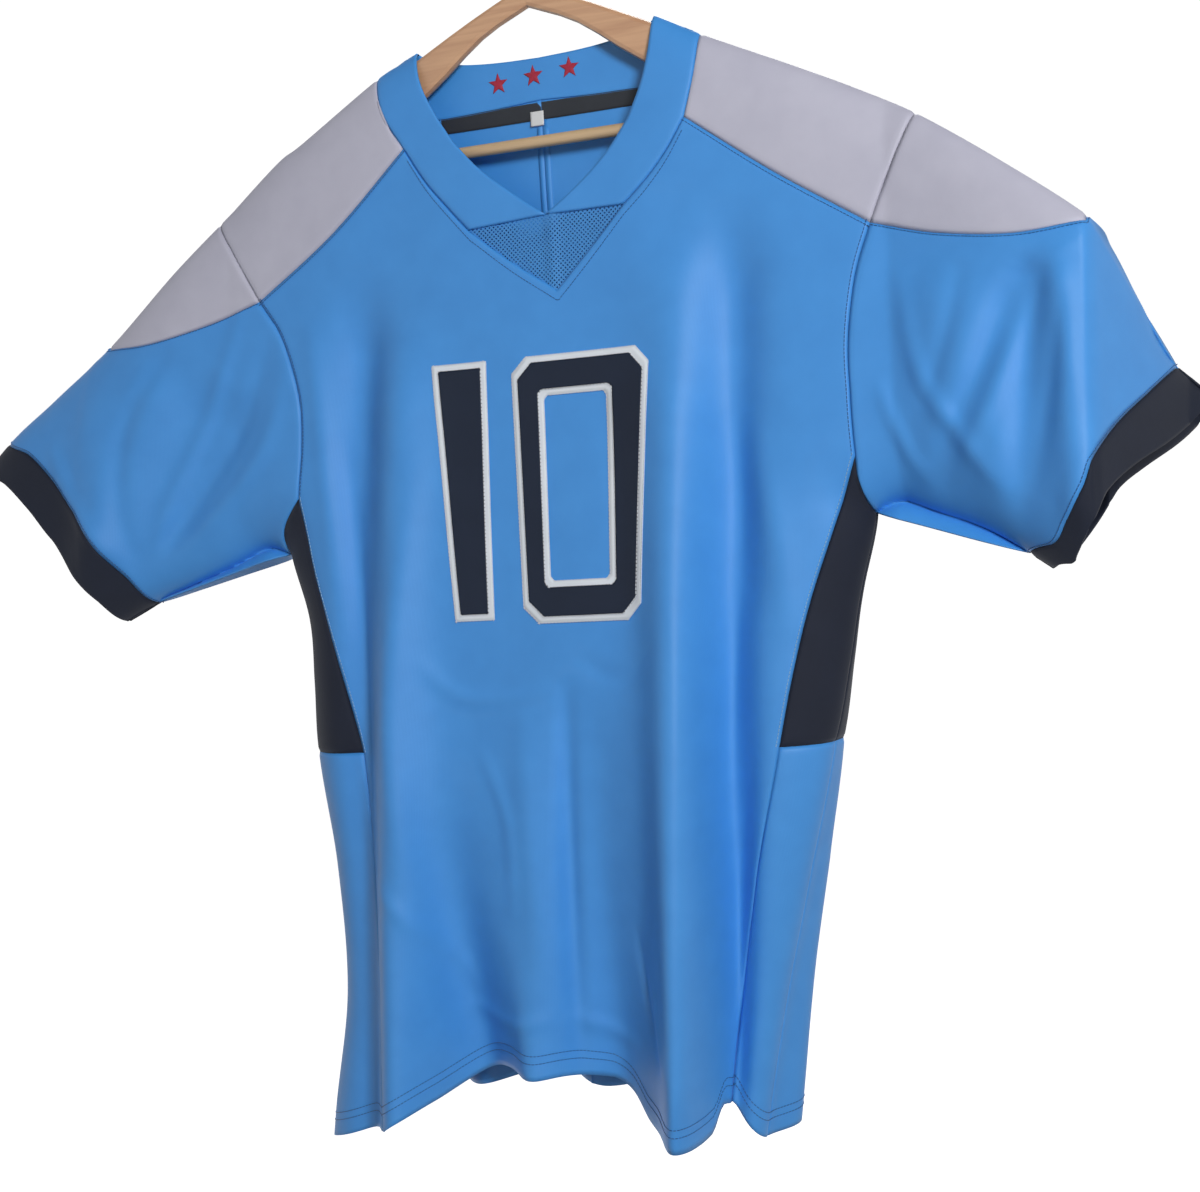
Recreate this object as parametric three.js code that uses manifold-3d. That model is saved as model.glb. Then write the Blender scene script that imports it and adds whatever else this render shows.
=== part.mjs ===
// A short-sleeved football jersey hanging on a wooden clothes hanger, in millimetres, +Z up.
// The origin is the inside top of the hook. The front of the jersey faces -Y and +X is the viewer's right.
// Every panel is a wall of cloth: a grid of points between its seams, thickened to both sides.

import * as THREE from 'three';
import { mergeVertices } from 'three/addons/utils/BufferGeometryUtils.js';
import Module from 'manifold-3d';

const wasm = await Module();
wasm.setup();

// Driving sizes
const CLOTH = 1.2; // one layer of jersey knit, as a wall
const FOLDED_CLOTH = 1.8; // collar and cuffs, where the cloth is double
const SEAM_GAP = 0.3; // between two pieces at their seam
const HEM_DEPTH = 20; // turned-up hem
const FOLD_FADE = 45; // folds die away this near the outline

const blue = new THREE.MeshStandardMaterial({ color: '#3f8fd6', roughness: 0.62, metalness: 0 });
const grey = new THREE.MeshStandardMaterial({ color: '#bcbccb', roughness: 0.62, metalness: 0 });
const navy = new THREE.MeshStandardMaterial({ color: '#171d30', roughness: 0.75, metalness: 0 });
const white = new THREE.MeshStandardMaterial({ color: '#eef1f5', roughness: 0.6, metalness: 0 });
const red = new THREE.MeshStandardMaterial({ color: '#b01c44', roughness: 0.7, metalness: 0 });
const charcoal = new THREE.MeshStandardMaterial({ color: '#2b3036', roughness: 0.85, metalness: 0 });
const wood = new THREE.MeshStandardMaterial({ color: '#c79a6c', roughness: 0.5, metalness: 0 });
const steel = new THREE.MeshStandardMaterial({ color: '#b9bcc0', roughness: 0.25, metalness: 1 });

// Named points of the seams on each side, x outwards from the middle and z down from the inside top of the hook
const POINTS = {
  right: {
    neck: [101, -109], collarTop: [136, -128], yokeInner: [124, -188], yokeInnerBack: [124, -160],
    yokeOuter: [258, -281], yokeOuterBack: [266, -268], armTop: [291, -208], capTip: [408, -297],
    insertTop: [240, -442], pit: [246, -482], veeCorner: [74, -245],
  },
  left: {
    neck: [96, -106], collarTop: [132, -121], yokeInner: [107, -180], yokeInnerBack: [112, -154],
    yokeOuter: [242, -284], yokeOuterBack: [251, -270], armTop: [284, -216], capTip: [391, -305],
    insertTop: [212, -443], pit: [237, -486], veeCorner: [54, -249],
  },
};
// Further points that the seams run through on their way
const RUNS = {
  right: {
    yoke: [[189, -236]], armhole: [[239, -403], [239, -361], [246, -316]], cap: [[306, -295], [360, -303]],
    rise: [[94, -227], [110, -209]], vee: [[47, -273]], shoulder: [[205, -161.5], [251, -185]],
    neckline: [[38, -226], [62, -205], [80, -183]], neck: [[98, -136], [91, -160]],
  },
  left: {
    yoke: [[173, -238]], armhole: [[207, -404], [208, -362], [222, -316]], cap: [[290, -298], [345, -308]],
    rise: [[70, -231], [90, -207]], vee: [[20, -276]], shoulder: [[203, -161], [228, -174]],
    neckline: [[14, -227], [41, -205], [63, -181]], neck: [[90, -132], [78, -157]],
  },
};
const VEE_INNER = [11, -245];
const VEE_TIP = [18, -302];
const BACK_NECK = [0, -121];
const BACK_COLLAR = [0, -153];
const INSERT_END = -645; // lower edge of the dark side insert
const HEM = -938;

// The body below the armholes: where its outline and its front seams stand at each height
const BODY = [
  { height: -483, leftEdge: -237, leftSeam: -206, rightSeam: 223, rightEdge: 246 },
  { height: -540, leftEdge: -223, leftSeam: -194, rightSeam: 203, rightEdge: 231 },
  { height: -590, leftEdge: -222, leftSeam: -181, rightSeam: 188, rightEdge: 220 },
  { height: INSERT_END, leftEdge: -222, leftSeam: -168, rightSeam: 174, rightEdge: 206 },
  { height: -735, leftEdge: -212, leftSeam: -162, rightSeam: 149, rightEdge: 183 },
  { height: -838, leftEdge: -211, leftSeam: -156, rightSeam: 125, rightEdge: 157 },
  { height: HEM, leftEdge: -230, leftSeam: -155, rightSeam: 112, rightEdge: 136 },
  { height: -1040, leftEdge: -244, leftSeam: -155, rightSeam: 100, rightEdge: 118 },
];

// How far the cloth stands off the middle plane in front and behind, how far in from its outline the garment
// rounds to that depth, and how far the right side of the back hangs out beyond its side seam
const SWELL = [
  { height: -100, front: 11, back: 13, roll: 40, overhang: 0 },
  { height: -170, front: 14, back: 15, roll: 44, overhang: 0 },
  { height: -250, front: 18, back: 20, roll: 56, overhang: 0 },
  { height: -400, front: 28, back: 34, roll: 75, overhang: 0 },
  { height: -520, front: 37, back: 44, roll: 75, overhang: 0 },
  { height: -640, front: 42, back: 52, roll: 75, overhang: 10 },
  { height: -735, front: 41, back: 57, roll: 75, overhang: 17 },
  { height: HEM, front: 36, back: 62, roll: 75, overhang: 27 },
  { height: -1040, front: 36, back: 62, roll: 75, overhang: 27 },
];

// Soft ridges (rise > 0) and troughs (rise < 0) that run down the cloth, each from its top to the hem.
// Their widths at the hem differ on their left and right
const FRONT_FOLDS = [
  { name: 'trough by the left seam', top: -260, x: -148, xEnd: -183, width: 24, left: 18, right: 18, rise: -13, riseEnd: -10 },
  { name: 'left ridge', top: -300, x: -112, xEnd: -142, width: 30, left: 24, right: 24, rise: 10, riseEnd: 36 },
  { name: 'left hem trough', top: -640, x: -95, xEnd: -88, width: 30, left: 32, right: 32, rise: 0, riseEnd: -46 },
  { name: 'small middle ridge', top: -740, x: -40, xEnd: -34, width: 16, left: 13, right: 16, rise: 0, riseEnd: 16 },
  { name: 'middle trough', top: -560, x: 32, xEnd: 22, width: 26, left: 34, right: 34, rise: -4, riseEnd: -34 },
  { name: 'right ridge', top: -230, x: 116, xEnd: 98, width: 30, left: 24, right: 14, rise: 10, riseEnd: 58 },
  { name: 'trough by the right seam', top: -240, x: 156, xEnd: 118, width: 24, left: 20, right: 20, rise: -13, riseEnd: -42 },
];
const BACK_FOLDS = [
  { name: 'left back ridge', top: -300, x: -165, xEnd: -168, width: 26, left: 28, right: 28, rise: 4, riseEnd: 26 },
  { name: 'left back trough', top: -420, x: -110, xEnd: -112, width: 26, left: 30, right: 30, rise: -3, riseEnd: -28 },
  { name: 'left middle ridge', top: -330, x: -58, xEnd: -62, width: 28, left: 26, right: 26, rise: 5, riseEnd: 20 },
  { name: 'middle back trough', top: -520, x: -8, xEnd: -18, width: 28, left: 30, right: 30, rise: -2, riseEnd: -22 },
  { name: 'right middle ridge', top: -300, x: 62, xEnd: 30, width: 26, left: 26, right: 26, rise: 5, riseEnd: 28 },
  { name: 'right back trough', top: -440, x: 112, xEnd: 70, width: 26, left: 24, right: 24, rise: -3, riseEnd: -24 },
  { name: 'right back ridge', top: -320, x: 160, xEnd: 106, width: 24, left: 24, right: 24, rise: 4, riseEnd: 20 },
];
// Ridges and troughs across the sleeves, from the cap or armhole towards the cuff
const SLEEVE_FOLDS = [
  { name: 'ridge beside the sharp fold', side: 1, x: 392, z: -305, xEnd: 397, zEnd: -470, width: 13, rise: 7 },
  { name: 'trough below the cap', side: 1, x: 374, z: -312, xEnd: 366, zEnd: -400, width: 13, rise: -6 },
  { name: 'long crease to the underarm', side: 1, x: 372, z: -320, xEnd: 300, zEnd: -480, width: 15, rise: -4 },
  { name: 'broad fold to the cuff', side: 1, x: 300, z: -300, xEnd: 346, zEnd: -500, width: 32, rise: 7 },
  { name: 'ridge under the cap tip', side: -1, x: 396, z: -305, xEnd: 400, zEnd: -500, width: 26, rise: 5 },
  { name: 'trough by the armhole', side: -1, x: 270, z: -340, xEnd: 345, zEnd: -500, width: 30, rise: -7 },
  { name: 'broad fold to the cuff', side: -1, x: 330, z: -320, xEnd: 392, zEnd: -470, width: 26, rise: 6 },
];
const SLEEVE_FOLD_TAPER = 0.25; // share of a sleeve fold's length in which it rises from nothing

// How much higher or lower than the hem level the edge hangs, across the front and the back
const HEM_LIFT = [
  { x: -260, front: -28, back: 0 },
  { x: -228, front: -20, back: 0 },
  { x: -155, front: 3, back: 8 },
  { x: -118, front: 24, back: 14 },
  { x: -88, front: 41, back: 20 },
  { x: -60, front: 47, back: 22 },
  { x: -34, front: 44, back: 20 },
  { x: -10, front: 45, back: 16 },
  { x: 20, front: 40, back: 14 },
  { x: 36, front: 31, back: 13 },
  { x: 52, front: 14, back: 12 },
  { x: 70, front: 9, back: 11 },
  { x: 97, front: 6, back: 10 },
  { x: 106, front: 11, back: 9 },
  { x: 112, front: 29, back: 8 },
  { x: 136, front: 0, back: 4 },
  { x: 200, front: -4, back: 0 },
];

// The sleeve's upper outline before and after the cap's tip, its underarm line and the two ends of its cuff seam
const SLEEVE = {
  right: {
    before: [[348, -249]], after: [[420, -318], [433, -353]], underarm: [[267, -476], [290, -484], [326, -498]],
    cuffTop: [451, -396], cuffLow: [357, -516],
  },
  left: {
    before: [[330, -252]], after: [[445, -343]], underarm: [[258, -481], [292, -494], [330, -507]],
    cuffTop: [494, -378], cuffLow: [365, -519],
  },
};
// How far the cuff runs on from its seam, outwards and up, by the share of the seam from its lower end
const CUFF_RUN = {
  right: [
    { share: 0, x: 16, z: -11 }, { share: 0.14, x: 11, z: -14 }, { share: 0.3, x: 5, z: -22 },
    { share: 0.52, x: 6, z: -21 }, { share: 0.68, x: 7, z: -28 }, { share: 0.84, x: 14, z: -29 },
    { share: 1, x: 22, z: -22 },
  ],
  left: [
    { share: 0, x: 30, z: -14 }, { share: 0.3, x: 26, z: -22 }, { share: 0.55, x: 25, z: -23 },
    { share: 0.8, x: 24, z: -23 }, { share: 1, x: 24, z: -23 },
  ],
};
// How far the cuff seam bows outwards in front, by its share from the lower end
const CUFF_BOW = [
  { share: 0, right: 0, left: 0 },
  { share: 0.13, right: 13, left: -7 },
  { share: 0.3, right: 16, left: -13 },
  { share: 0.45, right: 12, left: -17 },
  { share: 0.53, right: 5, left: -17 },
  { share: 0.68, right: 0, left: -18 },
  { share: 0.85, right: 0, left: -14 },
  { share: 1, right: 0, left: 0 },
];
const BACK_BOW = 0.4; // the cuff seam bows this much less behind
// How far the sleeves stand back (or forward, below zero) at a distance from the middle: the right one swings
// forward up to its sharp fold and then turns back
const STAND = [
  { out: 0, right: 0, left: 0 },
  { out: 270, right: 0, left: 0 },
  { out: 407, right: -37, left: -14 },
  { out: 412, right: -31, left: -14 },
  { out: 458, right: 63, left: -18 },
  { out: 480, right: 76, left: -21 },
  { out: 560, right: 90, left: -29 },
];

// Grid counts along the seams that two pieces share
const ALONG = { lowerSeam: 10, upperSeam: 6, armhole: 6, insertTop: 3, yoke: 7, collarFront: 4, vee: 4, over: 5, cap: 6 };
const ACROSS = { collarBack: 4, sleeve: 7, cuff: 2, collar: 2 };

const lerp = THREE.MathUtils.lerp;
const point = ([x, z]) => new THREE.Vector3(x, 0, z);

// A smooth value read from a table by its first column
function track(rows, key, column) {
  const sorted = [...rows].sort((a, b) => a[key] - b[key]);
  return (at) => {
    const last = sorted.length - 1;
    let i = 0;
    while (i < last - 1 && at > sorted[i + 1][key]) i += 1;
    const t = THREE.MathUtils.clamp((at - sorted[i][key]) / (sorted[i + 1][key] - sorted[i][key]), 0, 1);
    const before = sorted[Math.max(i - 1, 0)][column];
    const after = sorted[Math.min(i + 2, last)][column];
    const a = sorted[i][column];
    const b = sorted[i + 1][column];
    return 0.5 * (2 * a + (b - before) * t + (2 * before - 5 * a + 4 * b - after) * t * t
      + (3 * a - before - 3 * b + after) * t * t * t);
  };
}

const body = {
  leftEdge: track(BODY, 'height', 'leftEdge'),
  leftSeam: track(BODY, 'height', 'leftSeam'),
  rightSeam: track(BODY, 'height', 'rightSeam'),
  rightEdge: track(BODY, 'height', 'rightEdge'),
};
const swell = {
  front: track(SWELL, 'height', 'front'),
  back: track(SWELL, 'height', 'back'),
  roll: track(SWELL, 'height', 'roll'),
  overhang: track(SWELL, 'height', 'overhang'),
};
const lift = { front: track(HEM_LIFT, 'x', 'front'), back: track(HEM_LIFT, 'x', 'back') };

const sideName = (side) => (side > 0 ? 'right' : 'left');
const points = (side) => POINTS[sideName(side)];
const runs = (side) => RUNS[sideName(side)];
const sleeve = (side) => SLEEVE[sideName(side)];
const cuffRun = {};
for (const hand of ['right', 'left']) {
  cuffRun[hand] = { x: track(CUFF_RUN[hand], 'share', 'x'), z: track(CUFF_RUN[hand], 'share', 'z') };
}
const cuffBow = { right: track(CUFF_BOW, 'share', 'right'), left: track(CUFF_BOW, 'share', 'left') };

function sleeveStand(x) {
  const column = sideName(x);
  const i = Math.max(STAND.findLastIndex((row) => row.out <= Math.abs(x)), 0);
  const [a, b] = [STAND[i], STAND[Math.min(i + 1, STAND.length - 1)]];
  return a === b ? a[column] : lerp(a[column], b[column], (Math.abs(x) - a.out) / (b.out - a.out));
}

function curveThrough(points, count) {
  const curve = new THREE.CatmullRomCurve3(points.map(([x, z]) => new THREE.Vector3(x, 0, z)), false, 'catmullrom', 0.5);
  return curve.getPoints(count);
}

// The garment's outline as seen from the front: shoulders, then the side and underarm of each side
const OUTLINE_STEPS = 33;
// The outline goes on past the cuffs by this many cuff widths, because the sleeves are open there
const RUN_ON = 2;
function shoulderOutline(side) {
  const { neck, collarTop, armTop, capTip } = points(side);
  const { before, after, cuffTop } = sleeve(side);
  const run = CUFF_RUN[sideName(side)].at(-1);
  const end = [cuffTop[0] + RUN_ON * run.x, cuffTop[1] + RUN_ON * run.z];
  const shape = [[0, -57], neck, collarTop, ...runs(side).shoulder, armTop, ...before, capTip, ...after, cuffTop, end];
  return curveThrough(shape, OUTLINE_STEPS).map((p) => [side * p.x, p.z]);
}
function lowerOutline(side) {
  const edge = side > 0 ? 'rightEdge' : 'leftEdge';
  const { pit } = points(side);
  const { underarm, cuffLow } = sleeve(side);
  const run = CUFF_RUN[sideName(side)][0];
  const flank = [-1040, HEM, -838, -735, INSERT_END, -590, -540].map((z) => [body[edge](z), z]);
  const end = [cuffLow[0] + RUN_ON * run.x, cuffLow[1] + RUN_ON * run.z];
  const arm = curveThrough([pit, ...underarm, cuffLow, end], OUTLINE_STEPS / 2).map((p) => [side * p.x, p.z]);
  return [...flank, ...arm];
}
const outlines = [shoulderOutline(1), shoulderOutline(-1), lowerOutline(1), lowerOutline(-1)];

function distanceToOutline(x, z) {
  let best = Infinity;
  for (const line of outlines) {
    for (let i = 0; i + 1 < line.length; i += 1) {
      const [ax, az] = line[i];
      const dx = line[i + 1][0] - ax;
      const dz = line[i + 1][1] - az;
      const t = THREE.MathUtils.clamp(((x - ax) * dx + (z - az) * dz) / (dx * dx + dz * dz), 0, 1);
      best = Math.min(best, Math.hypot(x - ax - t * dx, z - az - t * dz));
    }
  }
  return best;
}

const bell = (t) => Math.exp(-t * t);

function foldRise(x, z, front) {
  let rise = 0;
  for (const fold of front ? FRONT_FOLDS : BACK_FOLDS) {
    const t = THREE.MathUtils.clamp((fold.top - z) / (fold.top - HEM), 0, 1);
    const start = THREE.MathUtils.smoothstep(fold.top - z, 0, 90);
    const height = lerp(fold.rise, fold.riseEnd, t ** 1.6) * start;
    const off = x - lerp(fold.x, fold.xEnd, t);
    rise += height * bell(off / lerp(fold.width, off < 0 ? fold.left : fold.right, t));
  }
  return rise;
}

function sleeveFoldRise(x, z) {
  let rise = 0;
  for (const fold of SLEEVE_FOLDS) {
    if (Math.sign(x) !== fold.side) continue;
    const dx = fold.xEnd - fold.x;
    const dz = fold.zEnd - fold.z;
    const length = Math.hypot(dx, dz);
    const t = ((Math.abs(x) - fold.x) * dx + (z - fold.z) * dz) / (length * length);
    const off = ((Math.abs(x) - fold.x) * dz - (z - fold.z) * dx) / length;
    rise += fold.rise * bell(off / fold.width) * THREE.MathUtils.smoothstep(t, 0, SLEEVE_FOLD_TAPER);
  }
  return rise;
}

// A point of the cloth's middle surface: x and z as seen from the front, and which sheet it is on
function cloth(x, z, front, onOutline = false) {
  const inside = onOutline ? 0 : distanceToOutline(x, z);
  const round = Math.sqrt(1 - (1 - Math.min(inside / swell.roll(z), 1)) ** 2);
  const fade = Math.min(inside / FOLD_FADE, 1);
  const folds = (foldRise(x, z, front) + sleeveFoldRise(x, z)) * fade;
  const depth = (front ? swell.front(z) : swell.back(z)) * round + folds;
  return new THREE.Vector3(x, sleeveStand(x) + (front ? -depth : depth), z);
}

// The right side of the back hangs out past its side seam: a place moves to the right the further back it lies
function hungOut(p) {
  const share = THREE.MathUtils.smoothstep(p.y, 0, 36) * THREE.MathUtils.smoothstep(p.x, 20, 110);
  return new THREE.Vector3(p.x + swell.overhang(p.z) * share, p.y, p.z);
}

// Seams, as lists of points on the cloth that two panels share
const even = (n) => Array.from({ length: n + 1 }, (_, i) => i / n);
const eased = (n) => even(n).map((t) => t * t);
const mirror = ([x, z], side) => [side * x, z];

function seamThrough(through, steps, front, fromOutline = false) {
  const curve = new THREE.CatmullRomCurve3(through.map(point), false, 'catmullrom', 0.5);
  return steps.map((t) => {
    const p = curve.getPoint(t);
    return cloth(p.x, p.z, front, fromOutline && t === 0);
  });
}
const joined = (...parts) => parts.reduce((all, part) => [...all, ...(all.length ? part.slice(1) : part)], []);
const reversed = (seam) => [...seam].reverse();

// Front or side seam of the body, from one height to another
function bodySeam(column, from, to, count, front) {
  return even(count).map((t) => {
    const z = lerp(from, to, t);
    return cloth(body[column](z), z, front, column.endsWith('Edge'));
  });
}
function hemAt(x, front) {
  return HEM + (front ? lift.front(x) : lift.back(x));
}
const seamColumn = (side) => (side > 0 ? 'rightSeam' : 'leftSeam');
const edgeColumn = (side) => (side > 0 ? 'rightEdge' : 'leftEdge');

function seams(side, front) {
  const m = (...list) => list.map((p) => mirror(p, side));
  const { insertTop, pit, armTop, collarTop, capTip, ...p } = points(side);
  const run = runs(side);
  const inner = front ? p.yokeInner : p.yokeInnerBack;
  const outer = front ? p.yokeOuter : p.yokeOuterBack;
  // behind, the cap's seam starts a little higher
  const cap = front ? run.cap : [[run.cap[0][0] + 6, run.cap[0][1] + 9], run.cap[1]];
  const halfWay = [(outer[0] + inner[0]) / 2, (outer[1] + inner[1]) / 2 - 2];
  const column = seamColumn(side);
  const edge = edgeColumn(side);
  const insertCurve = [...m(insertTop), ...[pit[1] - 12, -540, -590, INSERT_END].map((z) => [body[column](z), z])];
  const overArm = [(armTop[0] + outer[0]) / 2, lerp(armTop[1], outer[1], 0.47)];
  const overCollar = [lerp(collarTop[0], inner[0], 0.3), (collarTop[1] + inner[1]) / 2];
  return {
    lower: bodySeam(column, hemAt(body[column](HEM), front), INSERT_END, ALONG.lowerSeam, front),
    upper: reversed(seamThrough(insertCurve, even(ALONG.upperSeam), front)),
    flankLower: bodySeam(edge, hemAt(body[edge](HEM), true), INSERT_END, ALONG.lowerSeam, front),
    flankUpper: bodySeam(edge, INSERT_END, pit[1], ALONG.upperSeam, front),
    insertTop: reversed(seamThrough(m(pit, [pit[0] - 6, pit[1] + 20], insertTop), eased(ALONG.insertTop), front, true)),
    armhole: seamThrough(m(insertTop, ...run.armhole, outer), even(ALONG.armhole), front),
    yoke: seamThrough(m(outer, ...(front ? run.yoke : [halfWay]), inner), even(ALONG.yoke), front),
    overArm: seamThrough(m(armTop, overArm, outer), eased(ALONG.over), front, true),
    overCollar: seamThrough(m(collarTop, overCollar, inner), eased(ALONG.over), front, true),
    cap: seamThrough(m(outer, ...cap, [capTip[0], capTip[1] - 3]), even(ALONG.cap), front),
  };
}
const seam = {};
for (const side of [1, -1]) {
  seam[sideName(side)] = { front: seams(side, true), back: seams(side, false) };
}

// Neckline and collar seam, from the vee or the middle of the back up to the shoulder
function frontCollarSeam(side) {
  const s = seam[sideName(side)].front;
  const rise = [points(side).veeCorner, ...runs(side).rise, points(side).yokeInner].map((p) => mirror(p, side));
  return joined(seamThrough(rise, even(ALONG.collarFront), true), reversed(s.overCollar));
}
function frontNeckline(side) {
  const m = (list) => list.map((p) => mirror(p, side));
  const { neckline, neck } = runs(side);
  const upper = m([points(side).neck, ...neck, neckline.at(-1)]);
  return joined(seamThrough([VEE_INNER, ...m(neckline)], even(ALONG.collarFront), true),
    reversed(seamThrough(upper, eased(ALONG.over), true, true)));
}
function backCollarSeam(side) {
  const s = seam[sideName(side)].back;
  const rise = [BACK_COLLAR, [45, -155], [86, -156], points(side).yokeInnerBack].map((p) => mirror(p, side));
  return joined(seamThrough(rise, even(ACROSS.collarBack), false), reversed(s.overCollar));
}
function backNeckline(side) {
  const m = (list) => list.map((p) => mirror(p, side));
  const { neck } = points(side);
  const lower = m([BACK_NECK, [30, -120], [56, -118], [76, -115]]);
  const upper = m([neck, [neck[0] - 4, -110], [87, -112.5], [76, -115]]);
  return joined(seamThrough(lower, even(ACROSS.collarBack), false), reversed(seamThrough(upper, eased(ALONG.over), false, true)));
}

// The middle of a panel: a grid between its bottom, top, left and right seams, laid on one sheet
function between(bottom, top, left, right, rowShares, columnShares, front, bend = (x) => x) {
  return rowShares.map((v, j) => columnShares.map((u, i) => {
    if (j === 0) return bottom[i];
    if (j === rowShares.length - 1) return top[i];
    if (i === 0) return left[j];
    if (i === columnShares.length - 1) return right[j];
    const along = (a, b, t, key) => lerp(a[key], b[key], t);
    const at = (key) => along(bottom[i], top[i], v, key) + along(left[j], right[j], u, key)
      - lerp(along(bottom[0], bottom.at(-1), u, key), along(top[0], top.at(-1), u, key), v);
    return cloth(bend(at('x'), at('z')), at('z'), front);
  }));
}

// Shares of a seam's length at each of its points
function shares(line) {
  const lengths = line.map((p, i) => (i === 0 ? 0 : p.distanceTo(line[i - 1])));
  const total = lengths.reduce((a, b) => a + b, 0);
  let run = 0;
  return lengths.map((length) => {
    run += length;
    return run / total;
  });
}

// Facing directions at each point; pieces that meet at a seam share them, so that their edges stay parallel
const facing = new Map();
const place = (p) => `${p.x.toFixed(1)} ${p.y.toFixed(1)} ${p.z.toFixed(1)}`;

function facingOf(grid, flip) {
  const rows = grid.length;
  const columns = grid[0].length;
  return grid.map((row, j) => row.map((_, i) => {
    const du = grid[j][Math.min(i + 1, columns - 1)].clone().sub(grid[j][Math.max(i - 1, 0)]);
    const dv = grid[Math.min(j + 1, rows - 1)][i].clone().sub(grid[Math.max(j - 1, 0)][i]);
    const n = du.cross(dv).normalize();
    return flip ? n.negate() : n;
  }));
}
function shareFacing(grid, flip) {
  const normals = facingOf(grid, flip);
  grid.forEach((row, j) => row.forEach((p, i) => {
    if (j > 0 && j < grid.length - 1 && i > 0 && i < row.length - 1) return;
    const sum = facing.get(place(p)) ?? new THREE.Vector3();
    facing.set(place(p), sum.add(normals[j][i]));
  }));
}

// A closed wall from a grid of points: the outer face lies `outer` out from the points and the inner face `inner`.
// Each edge is trimmed back from its seam, apart from a hem
function wall(grid, inner, outer, { trim = SEAM_GAP / 2, thicken = () => 0, flip = false, hem = false } = {}) {
  const rows = grid.length;
  const columns = grid[0].length;
  const normals = facingOf(grid, flip).map((row, j) => row.map((n, i) => {
    const onEdge = j === 0 || i === 0 || j === rows - 1 || i === columns - 1;
    const shared = onEdge && facing.get(place(grid[j][i]));
    return shared ? shared.clone().normalize() : n;
  }));
  // moves a point off its seam, square to it and along the cloth
  const off = (a, b, n, towards) => {
    const square = b.clone().sub(a).cross(n).setLength(trim);
    return square.dot(towards) < 0 ? square.negate() : square;
  };
  const trimmed = grid.map((row, j) => row.map((p, i) => {
    const q = p.clone();
    const left = row[Math.max(i - 1, 0)];
    const right = row[Math.min(i + 1, columns - 1)];
    const below = grid[Math.max(j - 1, 0)][i];
    const above = grid[Math.min(j + 1, rows - 1)][i];
    const n = normals[j][i];
    if (i === 0) q.add(off(below, above, n, right.clone().sub(p)));
    if (i === columns - 1) q.add(off(below, above, n, left.clone().sub(p)));
    if (j === 0 && !hem) q.add(off(left, right, n, above.clone().sub(p)));
    if (j === rows - 1) q.add(off(left, right, n, below.clone().sub(p)));
    return q;
  }));
  const face = (offset) => trimmed.map((row, j) => row.map((p, i) => (
    p.clone().addScaledVector(normals[j][i], offset - (offset === inner ? thicken(j, i) : 0)))));
  return shell(face(outer), face(inner), flip);
}

// A closed solid between two grids of points
function shell(outerGrid, innerGrid, flip) {
  const rows = outerGrid.length;
  const columns = outerGrid[0].length;
  const vertices = [...outerGrid.flat(), ...innerGrid.flat()].flatMap((p) => p.toArray());
  const id = (j, i, layer) => layer * rows * columns + j * columns + i;
  const faces = [];
  const quad = (a, b, c, d) => faces.push(a, b, c, a, c, d);
  for (let j = 0; j + 1 < rows; j += 1) {
    for (let i = 0; i + 1 < columns; i += 1) {
      quad(id(j, i, 0), id(j, i + 1, 0), id(j + 1, i + 1, 0), id(j + 1, i, 0));
      quad(id(j, i, 1), id(j + 1, i, 1), id(j + 1, i + 1, 1), id(j, i + 1, 1));
    }
    quad(id(j, 0, 0), id(j + 1, 0, 0), id(j + 1, 0, 1), id(j, 0, 1));
    quad(id(j, columns - 1, 0), id(j, columns - 1, 1), id(j + 1, columns - 1, 1), id(j + 1, columns - 1, 0));
  }
  for (let i = 0; i + 1 < columns; i += 1) {
    quad(id(0, i + 1, 0), id(0, i, 0), id(0, i, 1), id(0, i + 1, 1));
    quad(id(rows - 1, i + 1, 0), id(rows - 1, i + 1, 1), id(rows - 1, i, 1), id(rows - 1, i, 0));
  }
  if (flip) {
    for (let k = 0; k < faces.length; k += 3) [faces[k], faces[k + 1]] = [faces[k + 1], faces[k]];
  }
  const geometry = new THREE.BufferGeometry();
  geometry.setAttribute('position', new THREE.Float32BufferAttribute(vertices, 3));
  geometry.setIndex(faces);
  return geometry;
}

function mesh(name, geometry, material) {
  geometry.computeVertexNormals();
  const made = new THREE.Mesh(geometry, material);
  made.name = name;
  return made;
}
const half = CLOTH / 2;

// The hem is turned up inside, so the wall is double there, apart from its ends, where two panels meet
function hemThickness(columns, hemRows) {
  return (j, i) => (j < hemRows && i > 0 && i < columns - 1 ? CLOTH * 0.8 : 0);
}

// Rows of a body panel: the first lies at the turned-up hem's depth, the rest follow the seam
function hemmed(line) {
  const first = line[0];
  const second = line[1];
  const t = HEM_DEPTH / first.distanceTo(second);
  return [first, first.clone().lerp(second, t), ...line.slice(1)];
}

const jersey = new THREE.Group();
const grids = {};
const panels = [];
function panel(name, grid, material, { flip = false, cloth: thickness = CLOTH, hemRows = 0 } = {}) {
  const hung = grid.map((row) => row.map(hungOut));
  grids[name] = hung;
  panels.push({ name, grid: hung, material, flip, thickness, hemRows });
  shareFacing(hung, flip);
}

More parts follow.
